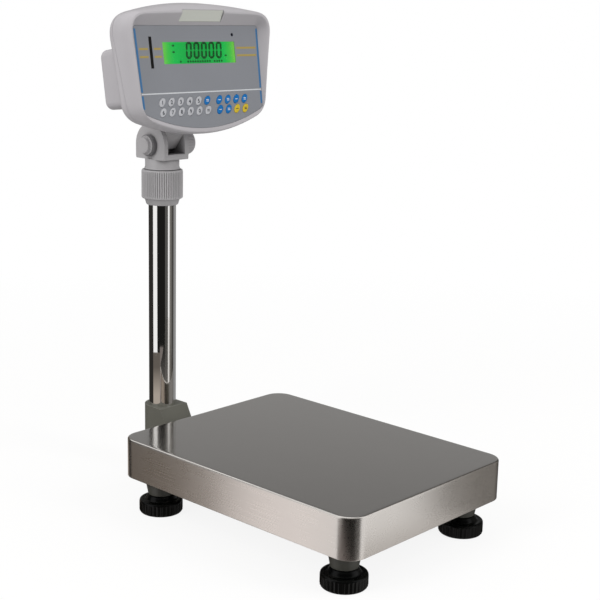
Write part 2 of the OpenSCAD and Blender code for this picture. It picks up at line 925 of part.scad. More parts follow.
// Rear shell: a rounded bowl with a box on its back
module rear_shell() {
    seam = at_depth(seam_row, seam_n - seam_gap / 2);
    inner = [for (r = back_rows) inset(at_depth(r, r[0] + shell_t * 0.6), shell_t)];
    wall_w = box_half_w - shell_t;
    wall_h = box_h - 2 * shell_t;
    start = back_n + 4;
    color([0.7, 0.69, 0.71])
        in_head()
            difference() {
                union() {
                    skin([
                        ring(inner[3]),
                        ring(inner[2]),
                        ring(inner[1]),
                        ring(inner[0]),
                        ring(inset(seam, shell_t)),
                        ring(seam),
                        ring(back_rows[0]),
                        ring(back_rows[1]),
                        ring(back_rows[2]),
                        ring(back_rows[3])
                    ]);
                    skin([
                        box_ring(start, box_half_w, box_h, box_corner),
                        box_ring(-box_back + box_round, box_half_w, box_h, box_corner),
                        box_ring(-box_back + box_round * 0.3, box_half_w - 2.2, box_h - 4.4, box_corner),
                        box_ring(-box_back, box_half_w - box_round, box_h - 2 * box_round, box_corner - 5)
                    ]);
                    for (p = screw_spots)
                        panel_prism(screw_head_n - 2, post_n)
                            translate(p)
                                circle(well_r);
                }
                skin([
                    box_ring(start + 12, wall_w, wall_h, box_corner - shell_t),
                    box_ring(-box_back + box_round, wall_w, wall_h, box_corner - shell_t),
                    box_ring(-box_back + shell_t, wall_w - 5, wall_h - 10, box_corner - shell_t)
                ]);
                for (p = screw_spots) {
                    panel_prism(back_n - 2, screw_head_n + 2)
                        translate(p)
                            circle(screw_head_r + 0.4);
                    panel_prism(back_n, 0)
                        translate(p)
                            circle(screw_r + 0.2);
                }
                panel_prism(-box_back - 1, -box_back + 12) {
                    translate(inlet_spot)
                        circle(inlet_r + loose);
                    translate(socket_spot)
                        circle(socket_r + loose);
                }
                for (x = [-1, 1], y = plate_screw_y)
                    translate([x * plate_screw_x, y, plate_top - 1])
                        cylinder(h = screw_bite + 2, r = plate_screw_r + running);
            }
}

module back_socket(spot, r, bore, pins) {
    on_panel(-box_back - 1.5, -box_back + socket_l)
        translate(spot)
            difference() {
                circle(r);
                circle(bore);
            }
    on_panel(-box_back + cup_l, -box_back + socket_l)
        translate(spot)
            circle(bore + 0.5);
    for (i = [0 : pins - 1])
        on_panel(-box_back + cup_l - 4, -box_back + cup_l + 1)
            translate(spot + (pins > 1 ? bore * 0.55 : 0) * [cos(i * 360 / pins), sin(i * 360 / pins)])
                circle(0.7);
}

module power_inlet() {
    color([0.08, 0.08, 0.08])
        back_socket(inlet_spot, inlet_r, inlet_r - 2.2, 1);
}

module cell_socket() {
    color("silver")
        back_socket(socket_spot, socket_r, socket_r - 2, 5);
}

module shell_screws() {
    color("gray")
        for (p = screw_spots) {
            on_panel(screw_head_n - 0.2, screw_head_n + 1.9)
                translate(p)
                    circle(screw_head_r);
            on_panel(screw_head_n + 1, seat_n - 3)
                translate(p)
                    circle(screw_r);
        }
}

// Keypad panel: a rigid face with openings for the display, the slot, the lamp and the keys
module keypad_panel() {
    color([0.5, 0.51, 0.54])
        on_panel(-panel_t, 0)
            difference() {
                polygon(outline(panel_row));
                translate([0, lcd_v])
                    square([lcd_w, lcd_h], center = true);
                translate([bar_u, bar_v])
                    square([bar_w, bar_h], center = true);
                translate([lamp_u, lamp_v])
                    circle(lamp_r + loose);
                for (k = [0 : key_count - 1])
                    translate(key_spot(k))
                        polygon(oval(gap));
            }
}

module lcd_window() {
    color([0.3, 0.8, 0.3, 0.5])
        on_panel(-panel_t, -0.2)
            translate([0, lcd_v])
                square([lcd_w - 2 * loose, lcd_h - 2 * loose], center = true);
}

module lcd_module() {
    color([0.1, 0.6, 0.15])
        on_panel(-panel_t - 0.3 - lcd_board.z, -panel_t - 0.3)
            translate([0, lcd_v])
                square([lcd_board.x, lcd_board.y], center = true);
}

module bar_window() {
    color([0.02, 0.02, 0.02])
        on_panel(-panel_t, -0.3)
            translate([bar_u, bar_v])
                square([bar_w - 2 * loose, bar_h - 2 * loose], center = true);
}

module status_lamp() {
    color([0.02, 0.02, 0.05])
        on_panel(-panel_t - 3, 0.4)
            translate([lamp_u, lamp_v])
                circle(lamp_r);
}

// Keys: slanted ovals held behind the panel by a rim
module key(k) {
    blue = [0.08, 0.43, 0.75];
    yellow = [0.85, 0.77, 0.2];
    white = [0.8, 0.8, 0.82];
    is_blue = k == key_split - 1 || (k >= key_split && k < key_cols + 8 && k % key_cols >= key_split);
    color(k >= key_cols + 8 ? yellow : is_blue ? blue : white) {
        on_panel(-panel_t - key_rim_t, key_rise)
            translate(key_spot(k))
                polygon(oval(0));
        on_panel(-panel_t - key_rim_t, -panel_t - gap)
            translate(key_spot(k))
                polygon(oval(key_rim + gap));
    }
}

module key_board() {
    n = -panel_t - key_rim_t - key_travel - gap;
    color([0.05, 0.3, 0.15])
        on_panel(n - board_t, n)
            intersection() {
                translate([key_left, key_v] - key_board_margin)
                    square([key_span, key_row] + 2 * key_board_margin);
                polygon(outline(inset(panel_row, ledge + gap)));
            }
}

module main_board() {
    n = seam_n - 8;
    color([0.05, 0.35, 0.15])
        on_panel(n - board_t, n)
            translate([-main_board_size.x / 2, main_board_low])
                square(main_board_size);
}

module battery() {
    n = -box_back + shell_t + battery_clear;
    color([0.15, 0.15, 0.18])
        on_panel(n, n + battery_size.z)
            translate([0, box_v])
                square([battery_size.x, battery_size.y], center = true);
}

FOOT_NAMES = ["front_left", "front_right", "back_left", "back_right"];
FOOT_NODES = [for (n = FOOT_NAMES) each [str("foot_stud_", n), str("foot_disc_", n)]];
KEY_NODES = [for (k = [0 : key_count - 1]) str("key_", k + 1)];

base_frame();
column_bracket();
bracket_bolts();
column();
column_screws();
load_cell();
cell_bolts();
platform_carrier();
pan_pads();
platform_pan();
clamp_nut();
yoke();
tilt_bolt();
tilt_washers();
tilt_knob();
head_bracket();
bracket_screws();
front_bezel();
badge_plate();
rear_shell();
shell_screws();
keypad_panel();
lcd_window();
lcd_module();
bar_window();
status_lamp();
key_board();
main_board();
battery();
power_inlet();
cell_socket();
for (i = [0 : 3]) {
    foot_stud(foot_spots[i]);
    foot_disc(foot_spots[i]);
}
for (k = [0 : key_count - 1])
    key(k);
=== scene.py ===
# %% [markdown]
# # A bench scale in its studio
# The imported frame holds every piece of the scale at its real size. This lesson loads it, builds finer
# meshes over the pieces that show, gives each surface a node material, and sets studio and camera.
# Lengths are written in millimetres, as on a drawing, and `piece()` turns them into metres.

# %% Load the frame
import json
import math

import bmesh
import bpy
import numpy as np
from mathutils import Matrix, Vector


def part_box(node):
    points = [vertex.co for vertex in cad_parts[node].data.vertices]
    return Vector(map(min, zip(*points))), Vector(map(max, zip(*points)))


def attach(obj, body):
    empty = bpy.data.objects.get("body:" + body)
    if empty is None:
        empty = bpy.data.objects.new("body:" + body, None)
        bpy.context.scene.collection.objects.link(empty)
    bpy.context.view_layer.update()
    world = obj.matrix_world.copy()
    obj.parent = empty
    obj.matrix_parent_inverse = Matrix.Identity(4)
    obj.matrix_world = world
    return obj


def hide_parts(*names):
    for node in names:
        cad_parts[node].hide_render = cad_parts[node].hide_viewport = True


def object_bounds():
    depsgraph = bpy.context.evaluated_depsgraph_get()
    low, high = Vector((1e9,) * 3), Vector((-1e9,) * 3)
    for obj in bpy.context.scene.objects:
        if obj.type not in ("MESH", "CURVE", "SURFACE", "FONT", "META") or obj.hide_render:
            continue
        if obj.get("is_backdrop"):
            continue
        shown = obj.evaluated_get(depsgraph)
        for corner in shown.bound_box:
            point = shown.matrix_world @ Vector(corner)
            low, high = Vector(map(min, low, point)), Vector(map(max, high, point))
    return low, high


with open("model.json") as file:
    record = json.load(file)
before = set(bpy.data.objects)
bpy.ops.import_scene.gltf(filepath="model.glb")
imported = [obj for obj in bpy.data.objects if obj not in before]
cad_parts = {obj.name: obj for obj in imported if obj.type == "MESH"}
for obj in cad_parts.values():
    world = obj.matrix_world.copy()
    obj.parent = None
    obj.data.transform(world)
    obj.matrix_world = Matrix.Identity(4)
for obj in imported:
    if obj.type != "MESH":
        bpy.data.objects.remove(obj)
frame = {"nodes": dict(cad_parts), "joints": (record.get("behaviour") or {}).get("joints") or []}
cad_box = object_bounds()
scene = bpy.context.scene
MM = 0.001


def put(name, data):
    obj = bpy.data.objects.new(name, data)
    scene.collection.objects.link(obj)
    return obj


# %% [markdown]
# ## Places to build in
# The pan, the column and the leaning head each have their own working space, so that a piece is drawn
# flat and upright first and then put in place by one matrix. The head's space is the one to know: u runs
# to the right on the keypad panel, v runs up it, and n comes out of it, all from the panel's zero line.

# %% Working spaces read from the frame
joint_named = {joint["name"]: joint for joint in frame["joints"]}
hinge = Vector(joint_named["head_tilt"]["pos_m"])
pan_low, pan_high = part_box("platform_pan")
pan_middle = (pan_low + pan_high) / 2
HEAD_LEAN = math.radians(9)
PANEL_REACH, PANEL_LIFT = 94, 21

deck = Matrix.Translation((pan_middle.x, pan_middle.y, 0))
mast = Matrix.Translation((hinge.x, hinge.y, 0))
axle = Matrix.Translation(hinge) @ Matrix.Rotation(math.radians(90), 4, "Y")
face = (
    Matrix.Translation(hinge)
    @ Matrix.Rotation(-HEAD_LEAN, 4, "X")
    @ Matrix.Translation((0, -PANEL_REACH * MM, PANEL_LIFT * MM))
    @ Matrix.Rotation(math.radians(90), 4, "X")
)
hinge_z = hinge.z / MM
print("tilt axis at", [round(c / MM, 2) for c in hinge], "mm")

# %% [markdown]
# ## Camera
# A photograph of a box-shaped thing tells where its camera stood: the edges run to vanishing points, and
# a known size sets the scale. The pan's 300 by 400 mm sides gave the standpoint and the lens below.
# Turning by azimuth, then looking down, then rolling is how a tripod head is set.

# %% Camera at the photograph's standpoint
IMAGE_SIDE = 600
FOCAL_PIXELS = 1308.4
STANDPOINT = Vector((-1.19047, -1.12787, 0.65864))
LOOK_AZIMUTH, LOOK_DOWN, LOOK_ROLL = 47.426, 12.822, 1.310

camera_data = bpy.data.cameras.new("Camera")
camera_data.sensor_width = 36
camera_data.lens = FOCAL_PIXELS / IMAGE_SIDE * camera_data.sensor_width
camera = put("Camera", camera_data)
camera.matrix_world = (
    Matrix.Translation(STANDPOINT)
    @ Matrix.Rotation(math.radians(-LOOK_AZIMUTH), 4, "Z")
    @ Matrix.Rotation(math.radians(90 - LOOK_DOWN), 4, "X")
    @ Matrix.Rotation(math.radians(LOOK_ROLL), 4, "Z")
)
scene.camera = camera
scene.view_settings.view_transform = "Standard"
print("lens", round(camera_data.lens, 1), "mm")

# %% [markdown]
# ## Node helpers
# Writing node trees by hand gets long, so small helpers keep them readable: `add` makes a node and fills
# its sockets with numbers or links, `sums` and `between` are a Math and a Map Range node, and `own_spot`
# is the object's own coordinate. `colour` turns the 0 to 255 values that a colour picker shows into the
# linear light that the shader works in.

# %% Helpers for node trees
def add(tree, kind, sockets=None, **settings):
    node = tree.nodes.new("ShaderNode" + kind)
    for name, value in settings.items():
        setattr(node, name, value)
    for name, value in (sockets or {}).items():
        if isinstance(value, bpy.types.NodeSocket):
            tree.links.new(value, node.inputs[name])
        else:
            node.inputs[name].default_value = value
    return node


def colour(red, green, blue):
    def linear(value):
        value /= 255
        return value / 12.92 if value <= 0.04045 else ((value + 0.055) / 1.055) ** 2.4

    return (linear(red), linear(green), linear(blue), 1.0)


def blank(owner):
    owner.use_nodes = True
    owner.node_tree.nodes.clear()
    return owner.node_tree


def sums(tree, operation, first, second):
    return add(tree, "Math", {0: first, 1: second}, operation=operation).outputs[0]


def between(tree, value, low, high, start=0.3, end=0.7):
    ranged = add(tree, "MapRange", {"Value": value, "From Min": start, "From Max": end,
                                    "To Min": low, "To Max": high})
    return ranged.outputs["Result"]


def blended(tree, share, first, second):
    return add(tree, "Mix", {"Factor": share, 6: first, 7: second}, data_type="RGBA").outputs[2]


def own_spot(tree):
    return add(tree, "TexCoord").outputs["Object"]


def facing(tree):
    return add(tree, "NewGeometry").outputs["Normal"]


def part_of(tree, vector, axis):
    return add(tree, "SeparateXYZ", {0: vector}).outputs["XYZ".index(axis)]


print("mid grey 128 in linear light:", round(colour(128, 128, 128)[0], 3))

# %% [markdown]
# ## Background and floor
# The scale stands on a plain white ground. The world is white to the camera, and to glossy and
# transmitted rays so that metal and glass see the same ground, and dimmer to the diffuse rays that fill
# the shadows. The floor does the same with a mix, so that a soft shadow is still there.

# %% World
FILL_LIGHT, FILL_TINT, WHITE = 0.62, (1, 0.985, 0.965, 1), (1, 1, 1, 1)


def seen_directly(tree):
    path = add(tree, "LightPath").outputs
    mirror = sums(tree, "MAXIMUM", path["Is Camera Ray"], path["Is Glossy Ray"])
    return sums(tree, "MAXIMUM", mirror, path["Is Transmission Ray"])


scene.world = bpy.data.worlds.new("Studio")
sky = blank(scene.world)
fill = add(sky, "Background", {"Color": FILL_TINT, "Strength": FILL_LIGHT})
white = add(sky, "Background", {"Color": WHITE, "Strength": 1.0})
pick = add(sky, "MixShader", {0: seen_directly(sky), 1: fill.outputs[0], 2: white.outputs[0]})
add(sky, "OutputWorld", {"Surface": pick.outputs[0]})
print("world with", len(sky.nodes), "nodes, fill light", FILL_LIGHT)

# %% Floor
FLOOR_BOUNCE, FLOOR_PALE = (0.55, 0.55, 0.55, 1), (0.95, 0.95, 0.95, 1)
FLOOR_REACH, SHADOW_REACH, FLOOR_CLEAR, SHADOW_FREE = 60.0, 0.5, 1.6, 0.88


def stage_card(name, corners, material):
    mesh = bpy.data.meshes.new(name)
    mesh.from_pydata(corners, [], [tuple(range(4 * i, 4 * i + 4)) for i in range(len(corners) // 4)])
    mesh.materials.append(material)
    card = put(name, mesh)
    card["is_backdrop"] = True
    return card


floor_paint = bpy.data.materials.new("Floor paint")
paint = blank(floor_paint)
floor_seen = seen_directly(paint)
away = add(paint, "VectorMath", {0: own_spot(paint)}, operation="LENGTH").outputs["Value"]
whiter = between(paint, away, SHADOW_FREE, 1.0, SHADOW_REACH, FLOOR_CLEAR)
share = sums(paint, "MULTIPLY", floor_seen, whiter)
matt = add(paint, "BsdfDiffuse", {"Color": blended(paint, floor_seen, FLOOR_BOUNCE, FLOOR_PALE)})
glow = add(paint, "Emission", {"Color": WHITE, "Strength": 1.0})
both = add(paint, "MixShader", {0: share, 1: matt.outputs[0], 2: glow.outputs[0]})
add(paint, "OutputMaterial", {"Surface": both.outputs[0]})
floor_corners = [(x * FLOOR_REACH, y * FLOOR_REACH, 0) for x, y in ((-1, -1), (1, -1), (1, 1), (-1, 1))]
floor = stage_card("floor", floor_corners, floor_paint)
floor.visible_glossy = False
print("floor", 2 * FLOOR_REACH, "m square")

# %% [markdown]
# ## Softboxes and flags
# Polished steel has no look of its own: it shows the room. Product photographers stand dark flags round
# the set, and the white ground in the gaps between them draws the crisp light bands on a tube. The flags
# here are seen only by glossy rays, so they shape reflections and block neither view nor light. Low cards
# do the same for the pan's skirt and the foot of the column. A card may grow lighter or darker with its
# height. Angles are counted round the column from the camera's side, to the right of the picture. Two
# softboxes give the shape its light and shade, and stay out of the reflections.

# %% Places round the column
to_camera = Vector((STANDPOINT.x - hinge.x, STANDPOINT.y - hinge.y, 0)).normalized()
to_right = Vector((-to_camera.y, to_camera.x, 0))


def around(angle, reach, height):
    angle = math.radians(angle)
    point = (to_camera * math.cos(angle) + to_right * math.sin(angle)) * reach
    return Vector((hinge.x + point.x, hinge.y + point.y, height))


print("one metre towards the camera:", [round(c, 3) for c in around(0, 1.0, 0.0)])

# %% Flags and low cards
FLAG_HEIGHT, FLAG_FOOT, FLAG_STEP, CARD_TOP = 5.0, -3.0, 6, -0.015


def flag_cloth(name, shade, fall, rise):
    cloth = bpy.data.materials.new(name)
    tree = blank(cloth)
    level = between(tree, part_of(tree, own_spot(tree), "Z"), 1.0, fall, *rise)
    dim = add(tree, "Emission", {"Color": (*shade, 1), "Strength": level})
    add(tree, "OutputMaterial", {"Surface": dim.outputs[0]})
    return cloth


def flag(name, start, end, reach, shade, top=FLAG_HEIGHT, fall=1.0, rise=(0.9, 1.7)):
    corners = []
    steps = max(2, int((end - start) / FLAG_STEP))
    for i in range(steps):
        a = start + (end - start) * i / steps
        b = start + (end - start) * (i + 1) / steps
        corners += [around(a, reach, FLAG_FOOT), around(b, reach, FLAG_FOOT),
                    around(b, reach, top), around(a, reach, top)]
    card = stage_card(name, corners, flag_cloth(name, shade, fall, rise))
    card.visible_camera = card.visible_diffuse = False
    card.visible_shadow = card.visible_volume_scatter = False


flag("flag_behind_camera", -44, 23, 2.6, (0.012, 0.0117, 0.0112), fall=30)
flag("flag_beside_camera", 23, 48, 2.6, (0.10, 0.098, 0.094), fall=3)
flag("flag_left", -158, -83, 2.0, (0.028, 0.026, 0.024), 1.4, fall=8)
flag("flag_right_pale", 62, 76, 0.75, (0.21, 0.2, 0.187))
flag("flag_right", 76, 88, 0.75, (0.14, 0.135, 0.125))
flag("flag_right_dark", 88, 108, 0.75, (0.065, 0.062, 0.058))
flag("flag_far_right", 108, 150, 3.0, (0.3, 0.3, 0.302), fall=0.58)
flag("flag_far", 150, 202, 3.2, (0.305, 0.304, 0.301), fall=0.58)
flag("card_low_left", -84, -57, 0.5, (0.19, 0.16, 0.135), CARD_TOP)
flag("card_low_white", -57, -22, 0.5, (1.13, 1.07, 1.06), CARD_TOP)
flag("card_low_front", -22, 28, 0.62, (0.2, 0.175, 0.165), CARD_TOP)
flag("card_low_pale", 28, 38, 0.62, (1.0, 0.97, 0.94), CARD_TOP)
flag("card_low_right", 38, 62, 0.62, (0.59, 0.57, 0.55), CARD_TOP)
flag("card_column_foot", -82, -20, 0.145, (0.44, 0.385, 0.335), 0.131, 0.3, rise=(0.057, 0.105))
print("eight flags and six low cards")

# %% Softboxes
LAMP_AIM, LAMP_TINT, LAMP_REACH, LAMP_TALL = Vector((0, 0, 0.35)), (1.0, 0.985, 0.96), 2.4, 2.0


def softbox(name, angle, height, width, power):
    data = bpy.data.lights.new(name, "AREA")
    data.shape = "RECTANGLE"
    data.size, data.size_y = width, LAMP_TALL
    data.energy = power
    data.color = LAMP_TINT
    lamp = put(name, data)
    lamp.location = around(angle, LAMP_REACH, height)
    lamp.rotation_euler = (LAMP_AIM - lamp.location).to_track_quat("-Z", "Y").to_euler()
    lamp.visible_glossy = False


softbox("softbox_left", -48, 1.9, 1.0, 38)
softbox("softbox_right", 58, 1.7, 0.8, 29)
print("two softboxes")

# %% [markdown]
# ## Shared surface effects
# No real finish is one even colour. Mould grain, brushing, rubbed edges and settled dust turn up on many
# pieces, and painted shade darkens the hollows of some, so each is a node group that is built once and placed
# in a material with its own values. The groups read the object's own coordinates, so the pattern stays on the
# piece when it moves.

# %% Group helpers
FLOAT, COLOUR, VECTOR = "NodeSocketFloat", "NodeSocketColor", "NodeSocketVector"
MID_GREY = (0.5, 0.5, 0.5, 1)


def new_group(name, inputs, outputs):
    tree = bpy.data.node_groups.new(name, "ShaderNodeTree")
    for label, kind, default in inputs:
        tree.interface.new_socket(name=label, in_out="INPUT", socket_type=kind).default_value = default
    for label, kind in outputs:
        tree.interface.new_socket(name=label, in_out="OUTPUT", socket_type=kind)
    return tree, tree.nodes.new("NodeGroupInput").outputs, tree.nodes.new("NodeGroupOutput").inputs


def skin_group(name, pattern, kind, default, tone):
    inputs = [("Colour", COLOUR, MID_GREY), (pattern, kind, default), ("Tone", FLOAT, tone),
              ("Gloss Low", FLOAT, 0.4), ("Gloss High", FLOAT, 0.5)]
    return new_group(name, inputs, [("Colour", COLOUR), ("Roughness", FLOAT), ("Height", FLOAT)])


def skin_results(tree, given, result, clouds, wear, height):
    tone = given["Tone"]
    value = between(tree, clouds, sums(tree, "SUBTRACT", 1.0, tone), sums(tree, "ADD", 1.0, tone))
    tinted = add(tree, "HueSaturation", {"Value": value, "Color": given["Colour"]})
    tree.links.new(tinted.outputs["Color"], result["Colour"])
    tree.links.new(between(tree, wear, given["Gloss Low"], given["Gloss High"]), result["Roughness"])
    tree.links.new(height, result["Height"])


def noise(tree, where, scale, detail=3.0):
    return add(tree, "TexNoise", {"Vector": where, "Scale": scale, "Detail": detail}).outputs["Fac"]


print("group helpers ready")

# %% Mould grain
GRAIN, given, result = skin_group("Mould grain", "Grain Scale", FLOAT, 1500.0, 0.03)
spot = own_spot(GRAIN)
pebbles = noise(GRAIN, spot, given["Grain Scale"])
skin_results(GRAIN, given, result, noise(GRAIN, spot, 16.0, 5.0), pebbles, pebbles)
print("group", GRAIN.name, "with", len(GRAIN.nodes), "nodes")

# %% [markdown]
# ## Brushing
# A sheet of stainless steel is drawn under an abrasive belt, which leaves streaks along one direction:
# noise that is stretched hard along that axis gives them. Broad soft clouds in it keep it from looking
# printed.

# %% Brushed sheet
BRUSHED, given, result = skin_group("Brushed sheet", "Streaks", VECTOR, (900.0, 12.0, 900.0), 0.04)
spot = own_spot(BRUSHED)
stretched = add(BRUSHED, "VectorMath", {0: spot, 1: given["Streaks"]}, operation="MULTIPLY").outputs[0]
streaks = noise(BRUSHED, stretched, 1.0, 4.0)
mottled = sums(BRUSHED, "ADD", streaks, noise(BRUSHED, spot, 22.0, 4.0))
half = sums(BRUSHED, "MULTIPLY", mottled, 0.5)
skin_results(BRUSHED, given, result, half, half, streaks)
print("group", BRUSHED.name, "with", len(BRUSHED.nodes), "nodes")

# %% [markdown]
# ## Rubbed edges, painted shade and dust
# These three lie over a colour by a mask. Rubbed edges come from comparing the rounded normal of a Bevel
# node with the true one. Painted shade darkens the colour where an Ambient Occlusion node finds little open
# space, as shade falls in hollows and gaps. Dust is noise on surfaces that look up. Patches of noise break up
# each mask, because real wear is never even.

# %% Rubbed edges
def layer_group(name, top, top_colour, amount, *more):
    inputs = [("Colour", COLOUR, MID_GREY), (top, COLOUR, top_colour), *more, ("Amount", FLOAT, amount)]
    return new_group(name, inputs, [("Colour", COLOUR), ("Mask", FLOAT)])


def layer_results(tree, given, result, where, patches, top):
    mask = sums(tree, "MULTIPLY", sums(tree, "MULTIPLY", where, patches), given["Amount"])
    tree.links.new(blended(tree, mask, given["Colour"], given[top]), result["Colour"])
    tree.links.new(mask, result["Mask"])


RUBBED, given, result = layer_group("Rubbed edge", "Rubbed Colour", (0.8, 0.8, 0.8, 1), 0.4,
                                    ("Width", FLOAT, 0.0008))
rounded = add(RUBBED, "Bevel", {"Radius": given["Width"]}, samples=4).outputs["Normal"]
agree = add(RUBBED, "VectorMath", {0: rounded, 1: facing(RUBBED)}, operation="DOT_PRODUCT").outputs["Value"]
bend = between(RUBBED, sums(RUBBED, "SUBTRACT", 1.0, agree), 0.0, 1.0, 0.02, 0.25)
patches = between(RUBBED, noise(RUBBED, own_spot(RUBBED), 160.0), 0.2, 1.0)
layer_results(RUBBED, given, result, bend, patches, "Rubbed Colour")
print("group", RUBBED.name, "with", len(RUBBED.nodes), "nodes")

# %% Painted shade in hollows, and dust
# Painted shade: the colour goes towards near-black where Ambient Occlusion finds the surface closed in, as
# shade falls there.
HOLLOW_SHADE, given, result = layer_group("Painted shade in hollows", "Painted Shade Colour", (0.012, 0.012, 0.013, 1), 0.5,
                                    ("Reach", FLOAT, 0.02))
openness = add(HOLLOW_SHADE, "AmbientOcclusion", {"Distance": given["Reach"]}, samples=8).outputs["AO"]
patches = between(HOLLOW_SHADE, noise(HOLLOW_SHADE, own_spot(HOLLOW_SHADE), 90.0), 0.9, 1.0)
layer_results(HOLLOW_SHADE, given, result, between(HOLLOW_SHADE, openness, 1.0, 0.0, 0.1, 0.8), patches, "Painted Shade Colour")

DUSTED, given, result = layer_group("Settled dust", "Dust Colour", (0.45, 0.43, 0.4, 1), 0.1)
upward = between(DUSTED, part_of(DUSTED, facing(DUSTED), "Z"), 0.0, 1.0, 0.5, 1.0)
specks = between(DUSTED, noise(DUSTED, own_spot(DUSTED), 70.0, 6.0), 0.0, 1.0, 0.42, 0.75)
layer_results(DUSTED, given, result, upward, specks, "Dust Colour")
print("groups:", HOLLOW_SHADE.name, "and", DUSTED.name)

# %% [markdown]
# ## Finishes
# One function dresses a Principled shader with these groups. Plastics, paint and rubber take the grain,
# sheet and tube take the brushing. What stays the same all over, such as metalness, is set on the shader
# itself, and what varies is linked. The pan's level top is smoother than its skirt, so `level_gloss` adds
# a coat where the surface looks up.

# %% Finish builder
BUMP_DEPTH, LEVEL_POLISH, COAT_ROUGHNESS, COAT_IOR = 0.0002, 0.58, 0.085, 2.3


def finish(name, tint, gloss, grain=1500.0, tone=0.03, bump=0.08, metal=0.0, rubbed=None, rub=0.4,
           dust=0.0, streaks=None, specular=0.5, level_gloss=None, hollow_shade=0.0):
    material = bpy.data.materials.new(name)
    tree = blank(material)

    def use(group, values):
        return add(tree, "Group", values, node_tree=group).outputs

    values = {"Colour": colour(*tint), "Tone": tone, "Gloss Low": gloss[0], "Gloss High": gloss[1]}
    if streaks:
        skin = use(BRUSHED, {**values, "Streaks": streaks})
    else:
        skin = use(GRAIN, {**values, "Grain Scale": grain})
    shade, roughness = skin["Colour"], skin["Roughness"]
    if rubbed:
        shade = use(RUBBED, {"Colour": shade, "Rubbed Colour": colour(*rubbed), "Amount": rub})["Colour"]
    # Painted shade in hollows, laid over the grain and the rubbed edges.
    if hollow_shade:
        shade = use(HOLLOW_SHADE, {"Colour": shade, "Amount": hollow_shade})["Colour"]
    if dust:
        shade = use(DUSTED, {"Colour": shade, "Amount": dust})["Colour"]
    if level_gloss:
        level = between(tree, part_of(tree, facing(tree), "Z"), 0.0, 1.0, 0.6, 0.98)
        polish = sums(tree, "MULTIPLY", level, level_gloss)
        roughness = sums(tree, "MULTIPLY", roughness, between(tree, polish, 1.0, LEVEL_POLISH))
    relief = add(tree, "Bump", {"Height": skin["Height"], "Strength": bump, "Distance": BUMP_DEPTH})
    shader = add(tree, "BsdfPrincipled", {
        "Base Color": shade, "Roughness": roughness, "Metallic": metal,
        "Specular IOR Level": specular, "Normal": relief.outputs["Normal"]})
    if level_gloss:
        tree.links.new(polish, shader.inputs["Coat Weight"])
        shader.inputs["Coat Roughness"].default_value = COAT_ROUGHNESS
        shader.inputs["Coat IOR"].default_value = COAT_IOR
    add(tree, "OutputMaterial", {"Surface": shader.outputs[0]})
    return material


print("finish builder ready")

# %% Castings, metals and rubbers
# A darker copy of the painted casting: painted shade for the base frame, which sits in the pan's shadow.
shade_darkened_casting = finish("Casting darkened for shade under the pan", (66, 66, 61), (0.42, 0.56), grain=900, tone=0.06, bump=0.15)
grey_casting = finish("Painted casting", (98, 98, 91), (0.42, 0.56), grain=900, tone=0.06, bump=0.15,
                      rubbed=(150, 150, 142), rub=0.35, dust=0.12)
pan_steel = finish("Brushed pan steel", (214, 209, 204), (0.25, 0.31), metal=1.0, tone=0.02, bump=0.014,
                   streaks=(900.0, 10.0, 900.0), level_gloss=1.0)
tube_steel = finish("Polished tube", (236, 235, 233), (0.03, 0.06), metal=1.0, tone=0.015, bump=0.0,
                    streaks=(500.0, 500.0, 8.0))
zinc = finish("Zinc plated screws", (176, 174, 166), (0.28, 0.4), metal=1.0, tone=0.05, bump=0.05)
cell_alloy = finish("Milled aluminium", (184, 185, 187), (0.3, 0.42), metal=1.0, tone=0.04, bump=0.04,
                    streaks=(600.0, 20.0, 600.0))
nickel = finish("Nickel plating", (196, 193, 184), (0.18, 0.28), metal=1.0, tone=0.03, bump=0.02)
gilt = finish("Contact plating", (204, 172, 96), (0.2, 0.3), metal=1.0, tone=0.03, bump=0.02)
foot_rubber = finish("Foot rubber", (3, 4, 4), (0.24, 0.32), grain=1200, tone=0.08, bump=0.06, specular=0.15,
                     rubbed=(12, 12, 12), rub=0.2, dust=0.01)
pad_rubber = finish("Pad rubber", (34, 34, 33), (0.6, 0.75), tone=0.06, bump=0.1)
print(len(bpy.data.materials), "materials so far")

# %% Plastics and boards
# The clamp plastic takes strong painted shade in its hollows, such as between the yoke's ears and the nut's
# ribs.
clamp_plastic = finish("Clamp plastic", (173, 172, 175), (0.3, 0.4), grain=1300, tone=0.025, bump=0.06,
                       rubbed=(190, 190, 191), rub=0.3, dust=0.05, hollow_shade=0.95)
washer_plastic = finish("Washer plastic", (112, 111, 114), (0.4, 0.52), tone=0.04,
                        rubbed=(140, 140, 140), rub=0.3)
# The housing takes a little painted shade in its hollows.
housing_plastic = finish("Housing plastic", (180, 178, 183), (0.4, 0.5), grain=1700, tone=0.02, bump=0.07,
                         rubbed=(205, 204, 206), rub=0.2, dust=0.08, hollow_shade=0.35)
badge_plastic = finish("Badge plate", (203, 206, 200), (0.3, 0.42), grain=2200, tone=0.02, bump=0.03,
                       rubbed=(224, 226, 222), rub=0.3)
overlay_film = finish("Keypad film", (134, 137, 144), (0.34, 0.44), grain=2600, tone=0.018, bump=0.05)
black_plastic = finish("Black plastic", (24, 24, 25), (0.3, 0.42), tone=0.05, bump=0.05,
                       rubbed=(56, 56, 56), rub=0.25)
board_green = finish("Circuit board", (22, 74, 44), (0.3, 0.45), grain=700, tone=0.1, bump=0.1)
battery_wrap = finish("Battery wrap", (40, 46, 58), (0.35, 0.5), grain=500, tone=0.05, bump=0.05)
print(len(bpy.data.materials), "materials so far")

# %% [markdown]
# ## Mesh helpers
# Nearly every piece of the scale is either turned about an axis, or skinned over a row of matching
# outlines. `turned` and `skinned` make the points and faces for those two cases, `softened` rounds the
# corners of a drawn profile, and `faded` lets ribs run out towards their ends.

